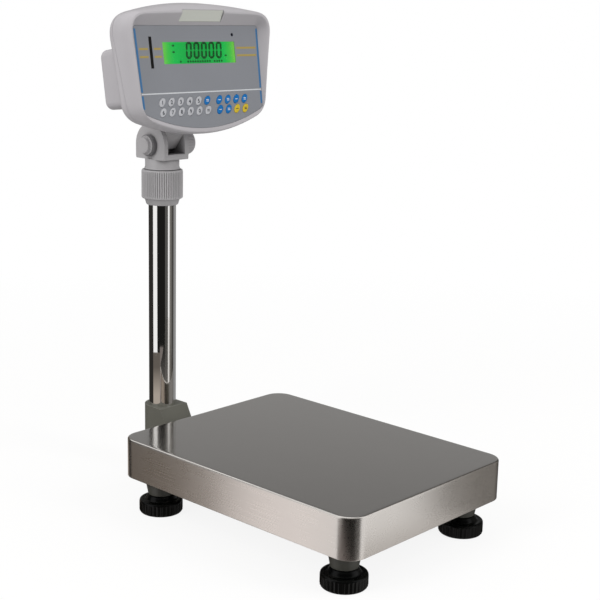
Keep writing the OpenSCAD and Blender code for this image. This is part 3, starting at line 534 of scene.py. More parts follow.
# %% Skinning and turning
def skinned(rings, loop=False):
    count = len(rings[0])
    points = [tuple(point) for ring in rings for point in ring]
    faces = []
    for j in range(len(rings) if loop else len(rings) - 1):
        a, b = j * count, (j + 1) % len(rings) * count
        faces += [(a + i, a + (i + 1) % count, b + (i + 1) % count, b + i) for i in range(count)]
    if not loop:
        last = (len(rings) - 1) * count
        faces += [tuple(range(count))[::-1], tuple(range(last, last + count))]
    return points, faces


def turned(profile, segments=96, loop=False, flute=None):
    angles = [2 * math.pi * i / segments for i in range(segments)]
    rings = []
    for radius, height in profile:
        reaches = [radius - (flute(angle, radius, height) if flute else 0) for angle in angles]
        rings.append([(reach * math.cos(angle), reach * math.sin(angle), height)
                      for angle, reach in zip(angles, reaches)])
    return skinned(rings, loop)


def faded(height, low, low_run, high, high_run):
    return max(0.0, min(1.0, (height - low) / low_run)) * max(0.0, min(1.0, (high - height) / high_run))


def wave(ribs, angle):
    return 0.5 - 0.5 * math.cos(ribs * angle)


print("a turned ring has", len(turned([(2, 0), (3, 1)], 8)[1]), "faces")

# %% Rounding, moving and joining
def softened(points, cut, steps=5, closed=False):
    points = [np.array(point, float) for point in points]
    made = []
    for i, corner in enumerate(points):
        ends = not closed and i in (0, len(points) - 1)
        before, after = points[i - 1] - corner, points[(i + 1) % len(points)] - corner
        reach = min(cut, 0.48 * np.linalg.norm(before), 0.48 * np.linalg.norm(after))
        if ends or reach <= 0:
            made.append(corner)
            continue
        start = corner + before / np.linalg.norm(before) * reach
        end = corner + after / np.linalg.norm(after) * reach
        for t in np.linspace(0, 1, steps + 1):
            made.append(start * (1 - t) ** 2 + corner * 2 * t * (1 - t) + end * t ** 2)
    return made


def prism(outline, low, high):
    return skinned([[(x, y, low) for x, y in outline], [(x, y, high) for x, y in outline]])


def moved(shape, u, v, n=0.0):
    return [(x + u, y + v, z + n) for x, y, z in shape[0]], shape[1]


def joined(*shapes):
    points, faces = [], []
    for some_points, some_faces in shapes:
        faces += [tuple(i + len(points) for i in corners) for corners in some_faces]
        points += list(some_points)
    return points, faces


print("a softened square has", len(softened([(0, 0), (9, 0), (9, 9), (0, 9)], 1, closed=True)), "corners")

# %% [markdown]
# ## Pieces on the frame
# `piece` makes an object from points and faces, puts it in place, ties it to the body that it moves with
# and hides the solid that it stands for. With `level`, a leaning place goes into the mesh itself, so that
# the object's own box stays upright and measures true. `refined` makes a piece from a cleaned copy of a
# solid's mesh, and `dress` only gives a solid that stays its finish.

# %% Meshes and bevels
WELD, CAD_WELD, SEAM_ANGLE = 1e-7, 1e-6, 1.5


def mesh_of(name, shape, place=None):
    mesh = bpy.data.meshes.new(name)
    mesh.from_pydata([Vector(point) * MM for point in shape[0]], [], shape[1])
    if place:
        mesh.transform(place)
    return mesh


def reworked(mesh, weld=0.0, seams=0.0, outward=True):
    work = bmesh.new()
    work.from_mesh(mesh)
    if weld:
        bmesh.ops.remove_doubles(work, verts=work.verts, dist=weld)
    if seams:
        bmesh.ops.dissolve_limit(work, angle_limit=math.radians(seams), verts=work.verts, edges=work.edges)
    if outward:
        bmesh.ops.recalc_face_normals(work, faces=work.faces)
    work.to_mesh(mesh)
    work.free()


def round_edges(obj, width, angle=32):
    bevel = obj.modifiers.new("Rounded edges", "BEVEL")
    bevel.width = width * MM
    bevel.segments = 3
    bevel.limit_method = "ANGLE"
    bevel.angle_limit = math.radians(angle)
    bevel.miter_outer = "MITER_ARC"
    even = obj.modifiers.new("Even shading", "WEIGHTED_NORMAL")
    even.keep_sharp = True


print("points closer than", WELD, "m are welded")

# %% Making and placing a piece
def place_piece(obj, body, nodes):
    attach(obj, body)
    if nodes:
        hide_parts(*nodes)
    return obj


def piece(name, shape, surface, body, nodes, slot, place, sharp=38, bevel=0.0, level=False):
    mesh = mesh_of(name, shape, place if level else None)
    reworked(mesh, WELD)
    mesh.shade_smooth()
    if not bevel:
        mesh.set_sharp_from_angle(angle=math.radians(sharp))
    mesh.materials.append(surface)
    obj = put(name, mesh)
    obj.matrix_world = Matrix() if level else place
    if bevel:
        round_edges(obj, bevel)
    return place_piece(obj, body, nodes)


def on_head(name, shape, surface, slot, nodes=(), **looks):
    return piece(name, shape, surface, "head", nodes, slot, face, **looks)


def dress(surface, *nodes):
    for node in nodes:
        mesh = frame["nodes"][node].data
        mesh.materials.clear()
        mesh.materials.append(surface)


def refined(node, surface, body, bevel):
    mesh = frame["nodes"][node].data.copy()
    mesh.name = node + "_soft"
    reworked(mesh, CAD_WELD, SEAM_ANGLE, outward=False)
    mesh.shade_smooth()
    mesh.materials.clear()
    mesh.materials.append(surface)
    obj = put(node + "_soft", mesh)
    obj.matrix_world = frame["nodes"][node].matrix_world.copy()
    round_edges(obj, bevel, angle=28)
    return place_piece(obj, body, (node,))


print("piece helpers ready")

# %% [markdown]
# ## Pan
# The pan is one stainless sheet with its four sides folded down and its corners welded and ground round.
# Rounded rectangles, skinned from the inside of the skirt over the top to its outside, give the sheet's
# real thickness and the small bend along its edges that catches a thin line of light.

# %% Pan
PAN_WIDE, PAN_DEEP, PAN_TOP, SKIRT_LOW = 300, 400, 101, 49
PAN_CORNER, PAN_BEND, SHEET = 24.5, 2.4, 1.5


def rounded_rectangle(wide, deep, corner, steps=16):
    points = []
    for k, (sx, sy) in enumerate([(1, 1), (-1, 1), (-1, -1), (1, -1)]):
        for i in range(steps + 1):
            angle = math.radians(90 * k + 90 * i / steps)
            points.append((sx * (wide / 2 - corner) + corner * math.cos(angle),
                           sy * (deep / 2 - corner) + corner * math.sin(angle)))
    return points


def pan_ring(inset, height):
    flat = rounded_rectangle(PAN_WIDE - 2 * inset, PAN_DEEP - 2 * inset, PAN_CORNER - inset)
    return [(x, y, height) for x, y in flat]


bend_centre, thin = PAN_TOP - PAN_BEND, PAN_BEND - SHEET
turns = [math.radians(a) for a in range(0, 91, 9)]


def pan_bend(radius):
    return [pan_ring(PAN_BEND - radius * math.cos(a), bend_centre + radius * math.sin(a)) for a in turns]


def pan_edge(inset, deburr):
    heights = (SKIRT_LOW, SKIRT_LOW + 0.25, SKIRT_LOW + 0.8)
    return [pan_ring(inset + by, height) for by, height in zip((deburr, 0, 0), heights)]


def pan_flat(height):
    return [pan_ring(6, height), pan_ring(20, height)]


outside = pan_edge(0, 0.2) + [pan_ring(0, bend_centre - 0.8)] + pan_bend(PAN_BEND) + pan_flat(PAN_TOP)
inside = pan_edge(SHEET, -0.2) + pan_bend(thin) + pan_flat(PAN_TOP - SHEET)
pan = piece("pan_sheet", skinned(inside[::-1] + outside), pan_steel, "pan", ["platform_pan"], "pan", deck,
            sharp=60)
dress(pad_rubber, "pan_pads")
print("pan sheet:", len(pan.data.polygons), "faces")

# %% [markdown]
# ## Levelling feet
# Each foot is a moulded rubber disc, ribbed so that fingers can turn it, on a threaded stud. The disc is
# turned from a profile whose radius drops a little in 36 flutes round its flat-topped rim, with a plain
# collar above it. The thread is a turned rod whose radius follows a helix, so it looks right when the
# foot is screwed out.

# %% Foot discs
FOOT_R, COLLAR_R, FOOT_RIBS, RIB_DEPTH = 28.5, 20, 36, 0.9


def foot_flute(angle, radius, height):
    on_rim = radius > COLLAR_R
    return RIB_DEPTH * faded(height, 0.6, 1.6, 15.4, 1.8) * wave(FOOT_RIBS, angle) ** 0.7 if on_rim else 0.0


foot_profile = softened(
    [(3, 1.0), (22.4, 1.0), (23.2, 0), (26.6, 0), (FOOT_R, 2.2), (FOOT_R, 14.8), (27.8, 16.6), (26.2, 17.5),
     (24.4, 17.5), (21.4, 17.0), (19.6, 18.2), (18.5, 21.2), (17.0, 24), (6.2, 24), (5.6, 23.2), (5.3, 9),
     (3, 9)], 1.0, 4)
foot_shape = turned(foot_profile, FOOT_RIBS * 8, flute=foot_flute)
print("foot disc with", len(foot_shape[1]), "faces")

# %% Studs, and all four feet in place
STUD_R, STUD_LOW, STUD_HIGH, PITCH, THREAD_DEPTH = 5.0, 8.0, 58.0, 1.5, 0.6


def thread(low, high, crest, root):
    rings, segments, per_turn = [], 24, 6
    count = int((high - low) / PITCH * per_turn)
    for j in range(count + 1):
        height = low + (high - low) * j / count
        ring = []
        for i in range(segments):
            turn = (height / PITCH - i / segments) % 1.0
            fade = min(1.0, (height - low) / PITCH, (high - height) / PITCH)
            radius = root + (crest - root) * (1 - abs(2 * turn - 1)) * max(0.0, fade)
            angle = 2 * math.pi * i / segments
            ring.append((radius * math.cos(angle), radius * math.sin(angle), height))
        rings.append(ring)
    return skinned(rings)


thread_shape = thread(STUD_LOW, STUD_HIGH, STUD_R, STUD_R - THREAD_DEPTH)
for corner in ("front_left", "front_right", "back_left", "back_right"):
    disc, stud = "foot_disc_" + corner, "foot_stud_" + corner
    low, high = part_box(stud)
    under = Matrix.Translation(((low.x + high.x) / 2, (low.y + high.y) / 2, 0))
    piece("foot_" + corner, foot_shape, foot_rubber, "foot_" + corner, [disc], "foot", under, sharp=50)
    piece("thread_" + corner, thread_shape, zinc, "stud_" + corner, [stud], "fastener", under, sharp=70)
print("four feet on", PITCH, "mm threads")

# %% [markdown]
# ## Castings under the pan
# The base frame, the bracket behind the pan and the frame that carries the pan are sand-cast shapes with
# soft edges. Their outlines are right in the solids already, so each keeps that shape: a copy of its mesh
# is cleaned of flat seams and gets a rounding bevel, which is what a casting's edges look like.

# %% Base frame, bracket, carrier and load cell
# The base frame takes the darker copy, painted shade for its place under the pan.
refined("base_frame", shade_darkened_casting, "base", 1.2)
refined("column_bracket", grey_casting, "base", 2.0)
refined("platform_carrier", grey_casting, "base", 1.2)
refined("load_cell", cell_alloy, "base", 0.5)
dress(zinc, "cell_bolts", "bracket_bolts", "column_screws")
print("castings rounded")

# %% [markdown]
# ## Column
# The column is a drawn stainless tube, polished all round. A finely divided tube keeps the edges of its
# reflections straight; the top and bottom are cut square and deburred.

# %% Column
COLUMN_R, COLUMN_WALL, COLUMN_LOW, COLUMN_HIGH = 19, 2, 40, 440.5
inner_r = COLUMN_R - COLUMN_WALL
tube = softened([(inner_r, COLUMN_LOW), (COLUMN_R, COLUMN_LOW), (COLUMN_R, COLUMN_HIGH),
                 (inner_r, COLUMN_HIGH)], 0.4, 3, closed=True)
piece("column_tube", turned(tube, 160, loop=True), tube_steel, "base", ["column"], "column", mast)
print("column", COLUMN_HIGH - COLUMN_LOW, "mm tall")

# %% [markdown]
# ## Clamp nut
# The nut under the head is moulded with 56 grip ribs and a plain cone below them, where it closes on the
# column. The ribs are rounded over at both ends, so the flute depth fades out towards the rims.

# %% Clamp nut
NUT_LOW, NUT_HIGH, NUT_R, CONE_R, NUT_RIBS, NUT_RIB_DEPTH = 390.9, 430.9, 28.5, 25, 56, 1.3


def nut_flute(angle, radius, height):
    depth = NUT_RIB_DEPTH * faded(height, NUT_LOW + 0.6, 2.2, NUT_HIGH - 0.8, 2.0)
    return depth * wave(NUT_RIBS, angle) ** 2.2 if radius >= CONE_R else 0.0


nut_profile = [(21.4, 382.4), (22.0, 383.0), (24.4, 390.4), (25.2, 391.0), (27.0, 391.0), (28.2, 392.0)]
nut_profile += [(NUT_R, z) for z in np.linspace(393.2, 428.0, 14)]
nut_profile += [(28.2, 429.4), (27.4, 430.5), (26.4, NUT_HIGH), (22.6, NUT_HIGH), (22.4, 430.6), (22.4, 393.0),
                (19.5, 393.0), (19.5, 382.4)]
nut_shape = turned(nut_profile, NUT_RIBS * 12, loop=True, flute=nut_flute)
piece("clamp_nut_ribbed", nut_shape, clamp_plastic, "nut", ["clamp_nut"], "clamp", mast, sharp=50)
print("clamp nut with", NUT_RIBS, "ribs")

# %% [markdown]
# ## Yoke
# The yoke turns on the column and holds the head between two ears. Its neck is round, its floor is a
# block, and each ear is a flat plate with a round top. They are drawn as separate closed shapes in one
# mesh and share a rounding bevel, as one moulding has.

# %% Yoke
EAR_IN, EAR_OUT, EAR_R = 15.25, 21.95, 29.5
FLOOR_LOW, FLOOR_HIGH, FLOOR_INSET = 445.5, 453.5, 0.3


def along_x(outline, low, high):
    return skinned([[(x, y, z) for y, z in outline] for x in (low, high)])


def ear_outline(front_corner, back_corner, low):
    angles = [math.radians(a) for a in range(0, 181, 4)]
    crown = [(EAR_R * math.cos(a), hinge_z + EAR_R * math.sin(a)) for a in angles]
    foot_front = softened([(-EAR_R, hinge_z), (-EAR_R, low), (0, low)], front_corner, 8)[1:-1]
    foot_back = softened([(0, low), (EAR_R, low), (EAR_R, hinge_z)], back_corner, 6)[1:-1]
    return crown + foot_front + foot_back


ear = ear_outline(7.0, 4.0, FLOOR_LOW)
sole = softened([(-EAR_R, FLOOR_HIGH), (-EAR_R, FLOOR_LOW), (EAR_R, FLOOR_LOW), (EAR_R, FLOOR_HIGH)],
                2.0, 4, closed=True)
neck = [(19.1, 392.6), (22.3, 392.6), (22.3, 431.2), (24.3, 431.5), (24.5, 431.9), (24.2, 433.4), (23.5, 434.6),
        (23.5, 446.2), (19.1, 446.2)]
yoke_shape = joined(
    along_x(ear, -EAR_OUT, -EAR_IN),
    along_x(ear, EAR_IN, EAR_OUT),
    along_x(sole, -EAR_OUT + FLOOR_INSET, EAR_OUT - FLOOR_INSET),
    turned(neck, loop=True),
)
piece("yoke_moulding", yoke_shape, clamp_plastic, "yoke", ["yoke"], "clamp", mast, bevel=0.9)
print("yoke ears", round(EAR_OUT - EAR_IN, 2), "mm thick")

# %% [markdown]
# ## Tilt bolt, washers and knob
# A bolt runs through both ears. Its stepped round head and a dark friction washer sit outside the left
# ear, and a knob on its other end clamps the head's tilt. All are turned about the tilt axis.

# %% Bolt and washers
HEAD_STEP_IN, HEAD_STEP_OUT, BOLT_R, BOLT_TIP = -27.95, -34.95, 4, 41.8
WASHER_R, WASHER_BORE, WASHER_THIN = 14.5, 4.2, 1.5
bolt_profile = softened(
    [(2, HEAD_STEP_OUT), (BOLT_R, HEAD_STEP_OUT), (10.5, HEAD_STEP_OUT), (10.5, -29.9), (13, -29.9),
     (13, HEAD_STEP_IN), (BOLT_R, HEAD_STEP_IN), (BOLT_R, BOLT_TIP), (2, BOLT_TIP)], 0.9, 4)
bolt_shape = turned(bolt_profile)
piece("tilt_bolt_turned", bolt_shape, clamp_plastic, "yoke", ["tilt_bolt"], "clamp", axle, sharp=45)


def washer(low, high, cut):
    section = [(WASHER_BORE, low), (WASHER_R, low), (WASHER_R, high), (WASHER_BORE, high)]
    return turned(softened(section, cut, 4, closed=True), loop=True)


washers = joined(washer(HEAD_STEP_IN, -EAR_OUT, 0.7), washer(EAR_OUT, EAR_OUT + WASHER_THIN, 0.4))
piece("tilt_washers_turned", washers, washer_plastic, "yoke", ["tilt_washers"], "washer", axle, sharp=45)
print("bolt", round(BOLT_TIP - HEAD_STEP_OUT, 2), "mm long")

# %% Knob
KNOB_RIBS, KNOB_RIB_DEPTH, KNOB_START, KNOB_END = 24, 0.5, 23.85, 48.85


def knob_flute(angle, radius, height):
    depth = KNOB_RIB_DEPTH * faded(height, 29.0, 2.0, 45.5, 2.0)
    return depth * wave(KNOB_RIBS, angle) if radius > 14 else 0.0


knob_profile = softened(
    [(4.2, KNOB_START), (16.5, KNOB_START), (17.5, 24.85), (17.4, 28), (17.3, 32), (17.1, 36), (17.0, 40),
     (16.9, 44.85), (15.5, 47.65), (13.0, KNOB_END), (3, KNOB_END), (3, 42.2), (4.2, 42)], 0.9, 4, closed=True)
knob_shape = turned(knob_profile, KNOB_RIBS * 8, loop=True, flute=knob_flute)
piece("tilt_knob_turned", knob_shape, clamp_plastic, "knob", ["tilt_knob"], "clamp", axle, sharp=45)
print("bolt and knob span", round(KNOB_END - HEAD_STEP_OUT, 1), "mm")

# %% [markdown]
# ## The head's outlines
# The head is a moulding whose outline changes from the flat panel, over a raised rim, to a rounded bowl.
# Every outline is described the same way: straight sides, bowed top and bottom and four rounded corners.
# A table of these outlines, each at its own depth, is then skinned. Reading it in order walks from the
# panel's edge out over the rim and back to the wall where the box sits.

# %% Table of outlines
PANEL_HALF, PANEL_HIGH, PANEL_LOW, PANEL_DIP = 107, 127, 17, -6
# depth at top, depth at bottom, upper side, upper corner, top, lower side, lower corner, bottom, radii
PANEL_ROW = (0, 0, 3, 0, 0, 0, 0, 0, 5, 7)
CREASE_ROW = (14, 0, 16.5, 11.8, 15, 1.5, -4, -5, 26, 16)
FRONT_ROWS = [
    (13.1, -0.8, 19.2, 13.6, 18, 2.1, -5, -6, 27, 17),
    (9, -3.5, 24.6, 14.0, 23, 4, -5, -6.8, 27, 18),
    (2, -7.5, 28.2, 13.5, 27.5, 8, -4.5, -7.1, 27, 19),
]
SEAM_ROW = (-13, -13, 28.4, 12.3, 30.9, 14.2, -4, -6.8, 27, 20)
BACK_ROWS = [
    (-20, -20, 26.4, 11.0, 31.7, 16.7, -3.5, -6.3, 26, 20),
    (-27, -27, 18.5, 7.8, 28.5, 12.2, -1, -3, 25, 20),
    (-33, -33, 10, 0, 20.5, 3, 5, 3.5, 24, 20),
    (-37, -37, -2, -11, 8.5, -10, 14, 13, 22, 18),
]
print(len(FRONT_ROWS) + len(BACK_ROWS) + 3, "outlines in the table")

# %% From a row of the table to points
def curve(a, b, c, steps):
    return [a * (1 - t) ** 2 + b * 2 * t * (1 - t) + c * t ** 2 for t in np.linspace(0, 1, steps + 1)]


def outline(row, bow_steps=14, corner_steps=10, side_steps=5):
    wide_up, high = PANEL_HALF + row[2], PANEL_HIGH + row[3]
    wide_low, low = PANEL_HALF + row[5], PANEL_LOW + row[6]
    top, bottom = PANEL_HIGH + row[4], PANEL_DIP + row[7]
    upper, lower = np.array([wide_up, high]), np.array([wide_low, low])
    rising = (upper - lower) / np.linalg.norm(upper - lower)

    def low_bow(x):
        return np.array([x, bottom + (low - bottom) * (x / wide_low) ** 2])

    def high_bow(x):
        return np.array([x, top + (high - top) * (x / wide_up) ** 2])

    start, stop = lower + row[9] * rising, upper - row[8] * rising
    right = [low_bow(x) for x in np.linspace(0, wide_low - row[9], bow_steps + 1)][:-1]
    right += curve(low_bow(wide_low - row[9]), lower, start, corner_steps)[:-1]
    right += [start + (stop - start) * t for t in np.linspace(0, 1, side_steps + 1)][:-1]
    right += curve(stop, upper, high_bow(wide_up - row[8]), corner_steps)[:-1]
    right += [high_bow(x) for x in np.linspace(wide_up - row[8], 0, bow_steps + 1)]
    left = [np.array([-x, y]) for x, y in right[-2:0:-1]]
    return right + left


def ring(row, depth=None):
    top, bottom = PANEL_HIGH + row[4], PANEL_DIP + row[7]
    points = []
    for u, v in outline(row):
        n = row[0] + (row[1] - row[0]) * (top - v) / (top - bottom) if depth is None else depth
        points.append((u, v, n))
    return np.array(points)


def shrunk(row, by):
    return (*row[:2], *(value - by for value in row[2:6]), row[6] + by, row[7] + by, *row[8:])


def flowing(rings, steps):
    ends = [2 * rings[0] - rings[1]] + rings + [2 * rings[-1] - rings[-2]]
    made = []
    for a, b, c, d in zip(ends, ends[1:], ends[2:], ends[3:]):
        for t in np.linspace(0, 1, steps + 1)[:-1]:
            made.append(0.5 * (2 * b + (c - a) * t + (2 * a - 5 * b + 4 * c - d) * t ** 2
                               + (3 * b - a - 3 * c + d) * t ** 3))
    return made + [rings[-1]]


print("each outline has", len(outline(SEAM_ROW)), "points")

# %% [markdown]
# ## Front of the housing
# The front moulding is a frame: a visor slopes from the panel's edge up to a raised rim, and outside the
# rim the skin rolls back to the seam. The rim is rounded by a small curve from point to point, and a
# flowing interpolation between the outlines removes the facets.

# %% Front moulding
SEAM_DEPTH, SEAM_GAP, SEAM_SOFT, SHELL, HOUSING_SHARP = -13, 0.2, 0.35, 2.5, 42
SEAT, LEDGE_WIDE, LEDGE_T, PANEL_PLAY = -1.7, 5, 2.5, 0.25
lip = ring(shrunk(PANEL_ROW, -PANEL_PLAY), 0.0)
seat_ring = ring(shrunk(PANEL_ROW, -PANEL_PLAY), SEAT)
ledge = [ring(shrunk(PANEL_ROW, LEDGE_WIDE), depth) for depth in (SEAT - LEDGE_T, SEAT)]
crease = ring(CREASE_ROW)
rolled = [ring(row) for row in FRONT_ROWS]
rim = curve(crease + (lip - crease) * 0.07, crease, crease + (rolled[0] - crease) * 0.5, 6)
visor = [lip + (rim[0] - lip) * t for t in (0.03, 0.33, 0.66)]
seam_front = SEAM_DEPTH + SEAM_GAP / 2
outer_skin = flowing([rim[-1]] + rolled + [ring(SEAM_ROW, seam_front + SEAM_SOFT)], 5)
seam_lip = [ring(shrunk(SEAM_ROW, by), seam_front) for by in (SEAM_SOFT, SHELL)]
behind = [ring(shrunk(FRONT_ROWS[-1], SHELL + 1.5), SEAT - 3.5), ring(shrunk(PANEL_ROW, -1.0), SEAT - LEDGE_T)]
front_rings = [seat_ring, lip] + visor + rim[:-1] + outer_skin + seam_lip + behind + ledge
front = on_head("front_moulding", skinned(front_rings, loop=True), housing_plastic, "housing", ["front_bezel"],
                sharp=HOUSING_SHARP, level=True)
print("front moulding:", len(front.data.polygons), "faces")

# %% [markdown]
# ## Back of the housing
# The back moulding is a bowl with a box for the electronics on it. Bowl and box are two closed shapes in
# one mesh, so neither needs to be fitted to the other.

# %% Back moulding
BOX_MIDDLE, BOX_HALF, BOX_TALL, BOX_CORNER, BOX_BACK, BOX_ROUND = 66, 108, 77, 10, -76.5, 8
seam_back = SEAM_DEPTH - SEAM_GAP / 2
bowl_skin = flowing([ring(SEAM_ROW, seam_back - SEAM_SOFT)] + [ring(row) for row in BACK_ROWS], 5)
bowl_inside = [ring(shrunk(row, SHELL), row[0] + SHELL * 0.6) for row in BACK_ROWS[::-1]]
bowl_lip = [ring(shrunk(SEAM_ROW, by), seam_back) for by in (SHELL, SEAM_SOFT)]


def box_ring(inset, depth):
    corner = max(2.0, BOX_CORNER - 0.6 * inset)
    flat = rounded_rectangle(2 * (BOX_HALF - inset), BOX_TALL - 2 * inset, corner, 10)
    return [(u, v + BOX_MIDDLE, depth) for u, v in flat]


box_rings = [box_ring(-4.0, -35.0), box_ring(-2.2, -36.4), box_ring(-0.8, -38.0), box_ring(0, -40.5),
             box_ring(0, BOX_BACK + BOX_ROUND)]
box_rings += [box_ring(BOX_ROUND * (1 - math.cos(a)), BOX_BACK + BOX_ROUND * (1 - math.sin(a)))
              for a in turns[1:]]
back_shape = joined(skinned(bowl_inside + bowl_lip + bowl_skin), skinned(box_rings))
back = on_head("back_moulding", back_shape, housing_plastic, "housing", ["rear_shell"], sharp=HOUSING_SHARP,
               level=True)
print("back moulding:", len(back.data.polygons), "faces")

# %% [markdown]
# ## Screw wells and screws
# Four self-tapping screws hold the two mouldings together from behind. Each sits deep in a round well,
# which a boolean bores, as a core pin of the mould does. The screw is turned, and a black cross set into
# its head is painted shade that stands for the dark recess.

# %% Bore the wells
SCREW_SPOTS = [(-109, 124), (109, 124), (-95, 15), (95, 15)]
SCREW_HEAD_R, SCREW_HEAD_N = 3.0, -26
WELL_R, WELL_OUT = SCREW_HEAD_R + 0.4, -60


def carved(obj, cutter_shape):
    cutter_mesh = mesh_of("cutter", cutter_shape, face)
    reworked(cutter_mesh)
    cutter = put("cutter", cutter_mesh)
    cut = obj.modifiers.new("Cut", "BOOLEAN")
    cut.object = cutter
    cut.solver = "EXACT"
    cut.use_self = True
    bpy.context.view_layer.update()
    done = bpy.data.meshes.new_from_object(obj.evaluated_get(bpy.context.evaluated_depsgraph_get()))
    obj.modifiers.remove(cut)
    obj.data = done
    bpy.data.objects.remove(cutter)
    done.set_sharp_from_angle(angle=math.radians(HOUSING_SHARP))


def at_screws(shape, n=0.0):
    return joined(*(moved(shape, u, v, n) for u, v in SCREW_SPOTS))


carved(back, at_screws(turned([(WELL_R, WELL_OUT), (WELL_R, SCREW_HEAD_N + 2)], 40)))
print("back moulding after boring:", len(back.data.polygons), "faces")

# %% Screws in the wells
SCREW_HEAD_H, SHANK_R, SHANK_LONG = 2.0, 1.5, 20
screw = turned(softened(
    [(0.4, -SCREW_HEAD_H), (SCREW_HEAD_R * 0.55, -SCREW_HEAD_H * 0.97), (SCREW_HEAD_R, -SCREW_HEAD_H * 0.35),
     (SCREW_HEAD_R, 0), (SHANK_R, 0), (SHANK_R, SHANK_LONG), (0.4, SHANK_LONG + 0.6)], 0.4, 4), 40)
arm, half_w = SCREW_HEAD_R * 0.62, SCREW_HEAD_R * 0.15
plus = [(half_w, half_w), (arm, half_w), (arm, -half_w), (half_w, -half_w), (half_w, -arm), (-half_w, -arm),
        (-half_w, -half_w), (-arm, -half_w), (-arm, half_w), (-half_w, half_w), (-half_w, arm), (half_w, arm)]
# The black cross is painted shade: it stands for the shade inside a cross recess, which is not cut.
recess_shade = prism(plus, -SCREW_HEAD_H - 0.02, -SCREW_HEAD_H * 0.7)
head_seat = SCREW_HEAD_N + 1.85
on_head("housing_screws", at_screws(screw, head_seat), zinc, "fastener", ["shell_screws"])
on_head("housing_screw_recess_shade", at_screws(recess_shade, head_seat), black_plastic, "fastener")
print(len(SCREW_SPOTS), "screws")

# %% [markdown]
# ## Head bracket
# A tongue hangs between the yoke's ears and carries a plate that is screwed under the box. It is a die
# casting like the rest, so the solid's copy gets rounded edges; its four screws keep their solids.

# %% Head bracket and its screws
# The bracket takes painted shade in its hollows too.
bracket_grey = finish("Bracket casting", (182, 181, 184), (0.34, 0.44), grain=1100, tone=0.04, bump=0.08,
                      rubbed=(188, 188, 189), rub=0.3, hollow_shade=0.45)
refined("head_bracket", bracket_grey, "head", 0.9)
dress(zinc, "bracket_screws")
print("head bracket rounded")

# %% [markdown]
# ## Badge
# A plain plate lies in a shallow pocket that is cut slanting across the visor and the rim above the
# display. The same slab shape serves twice: grown a little, it cuts the pocket, and at its true size it
# is the plate, which lies just under the pocket's edge so that a thin shadow frames it.

# %% Badge in its pocket
BADGE_U, BADGE_HALF, BADGE_LOW, BADGE_HIGH = 1, 37, 131.6, 145.2
BADGE_LOW_N, BADGE_HIGH_N, BADGE_SINK, BADGE_T = 4.2, 12.7, 1.2, 0.9


def badge_slab(back, front, grow):
    rise = (BADGE_HIGH_N - BADGE_LOW_N) / (BADGE_HIGH - BADGE_LOW)
    low = (BADGE_LOW - grow, BADGE_LOW_N - grow * rise)
    high = (BADGE_HIGH + grow, BADGE_HIGH_N + grow * rise)
    section = [(low, back), (high, back), (high, front), (low, front)]
    return skinned([[(BADGE_U + side * (BADGE_HALF + grow), v, n + by) for (v, n), by in section]
                    for side in (-1, 1)])


carved(front, badge_slab(-BADGE_SINK, 5.0, 0.25))
plate = badge_slab(0.05 - BADGE_SINK, BADGE_T - BADGE_SINK, 0)
on_head("badge_plain", plate, badge_plastic, "badge", ["badge_plate"], bevel=0.3)
print("badge", 2 * BADGE_HALF, "mm wide; front moulding after the cut:", len(front.data.polygons), "faces")

# %% [markdown]
# ## Keypad panel
# The panel is a rigid plate under a printed polyester film. The solid already has its openings, so it
# stays and takes the film's finish. Printing lies on top as ink: each line is a very thin piece, so it
# has crisp edges at any distance and can be given its own colour.

# %% Film and inks
white_ink = finish("White ink", (205, 209, 214), (0.4, 0.5), grain=2600, tone=0.02, bump=0.02)
blue_ink = finish("Blue ink", (58, 112, 160), (0.4, 0.5), grain=2600, tone=0.03, bump=0.02)
yellow_ink = finish("Yellow ink", (170, 150, 80), (0.4, 0.5), grain=2600, tone=0.03, bump=0.02)
dress(overlay_film, "keypad_panel")
print(len(bpy.data.materials), "materials so far")

# %% Straight printed lines
INK_T, LINE_V, LINE_TALL, LINE_GAP, SIDE_INSET, SIDE_WIDE, YELLOW_TALL = 0.05, 41, 1.5, 2.2, 1.9, 3.2, 2.6


def plane_points(u0, v0, u1, v1, wide):
    a, b = np.array([u0, v0], float), np.array([u1, v1], float)
    along = (b - a) / np.linalg.norm(b - a)
    return a, b, along, np.array([-along[1], along[0]]) * wide / 2


def slab(u, v, wide, tall, corner, steps, low, high):
    flat = rounded_rectangle(wide, tall, corner, steps)
    return prism([(x + u, y + v) for x, y in flat], low, high)


def strip(u0, u1, v, tall, corner=0.4):
    return slab((u0 + u1) / 2, v, u1 - u0, tall, corner, 4, 0.0, INK_T)


def panel_side(v):
    return PANEL_HALF + PANEL_ROW[2] * (v - PANEL_LOW) / (PANEL_HIGH - PANEL_LOW) - SIDE_INSET


def side_line(side, v0, v1):
    a, b, _, half = plane_points(side * panel_side(v0), v0, side * panel_side(v1), v1, SIDE_WIDE)
    return prism([a - half, b - half, b + half, a + half], 0.0, INK_T)


blue_lines = [side_line(side, v0, v1) for side in (-1, 1)
              for v0, v1 in ((22, LINE_V - LINE_GAP), (LINE_V + LINE_GAP, 123))]
yellow_lines = [strip(u0, u1, v, YELLOW_TALL) for v in (97.5, 87.5)
                for u0, u1 in ((-103.5, -89), (-79, -67), (67, 103.5))]
on_head("print_blue", joined(*blue_lines), blue_ink, "panel")
on_head("print_yellow", joined(*yellow_lines), yellow_ink, "panel")
on_head("print_white", strip(-PANEL_HALF, PANEL_HALF, LINE_V, LINE_TALL, 0.2), white_ink, "panel")
print(len(blue_lines) + len(yellow_lines) + 1, "printed lines")

# %% [markdown]
# ## Display
# Behind a clear window sits a liquid crystal display with a green backlight. The light comes from its two
# ends, so it is yellower there and bluer in the middle: a colour that follows the panel's u direction
# feeds the glow. The digits are the usual seven segments, cut to points at their ends.

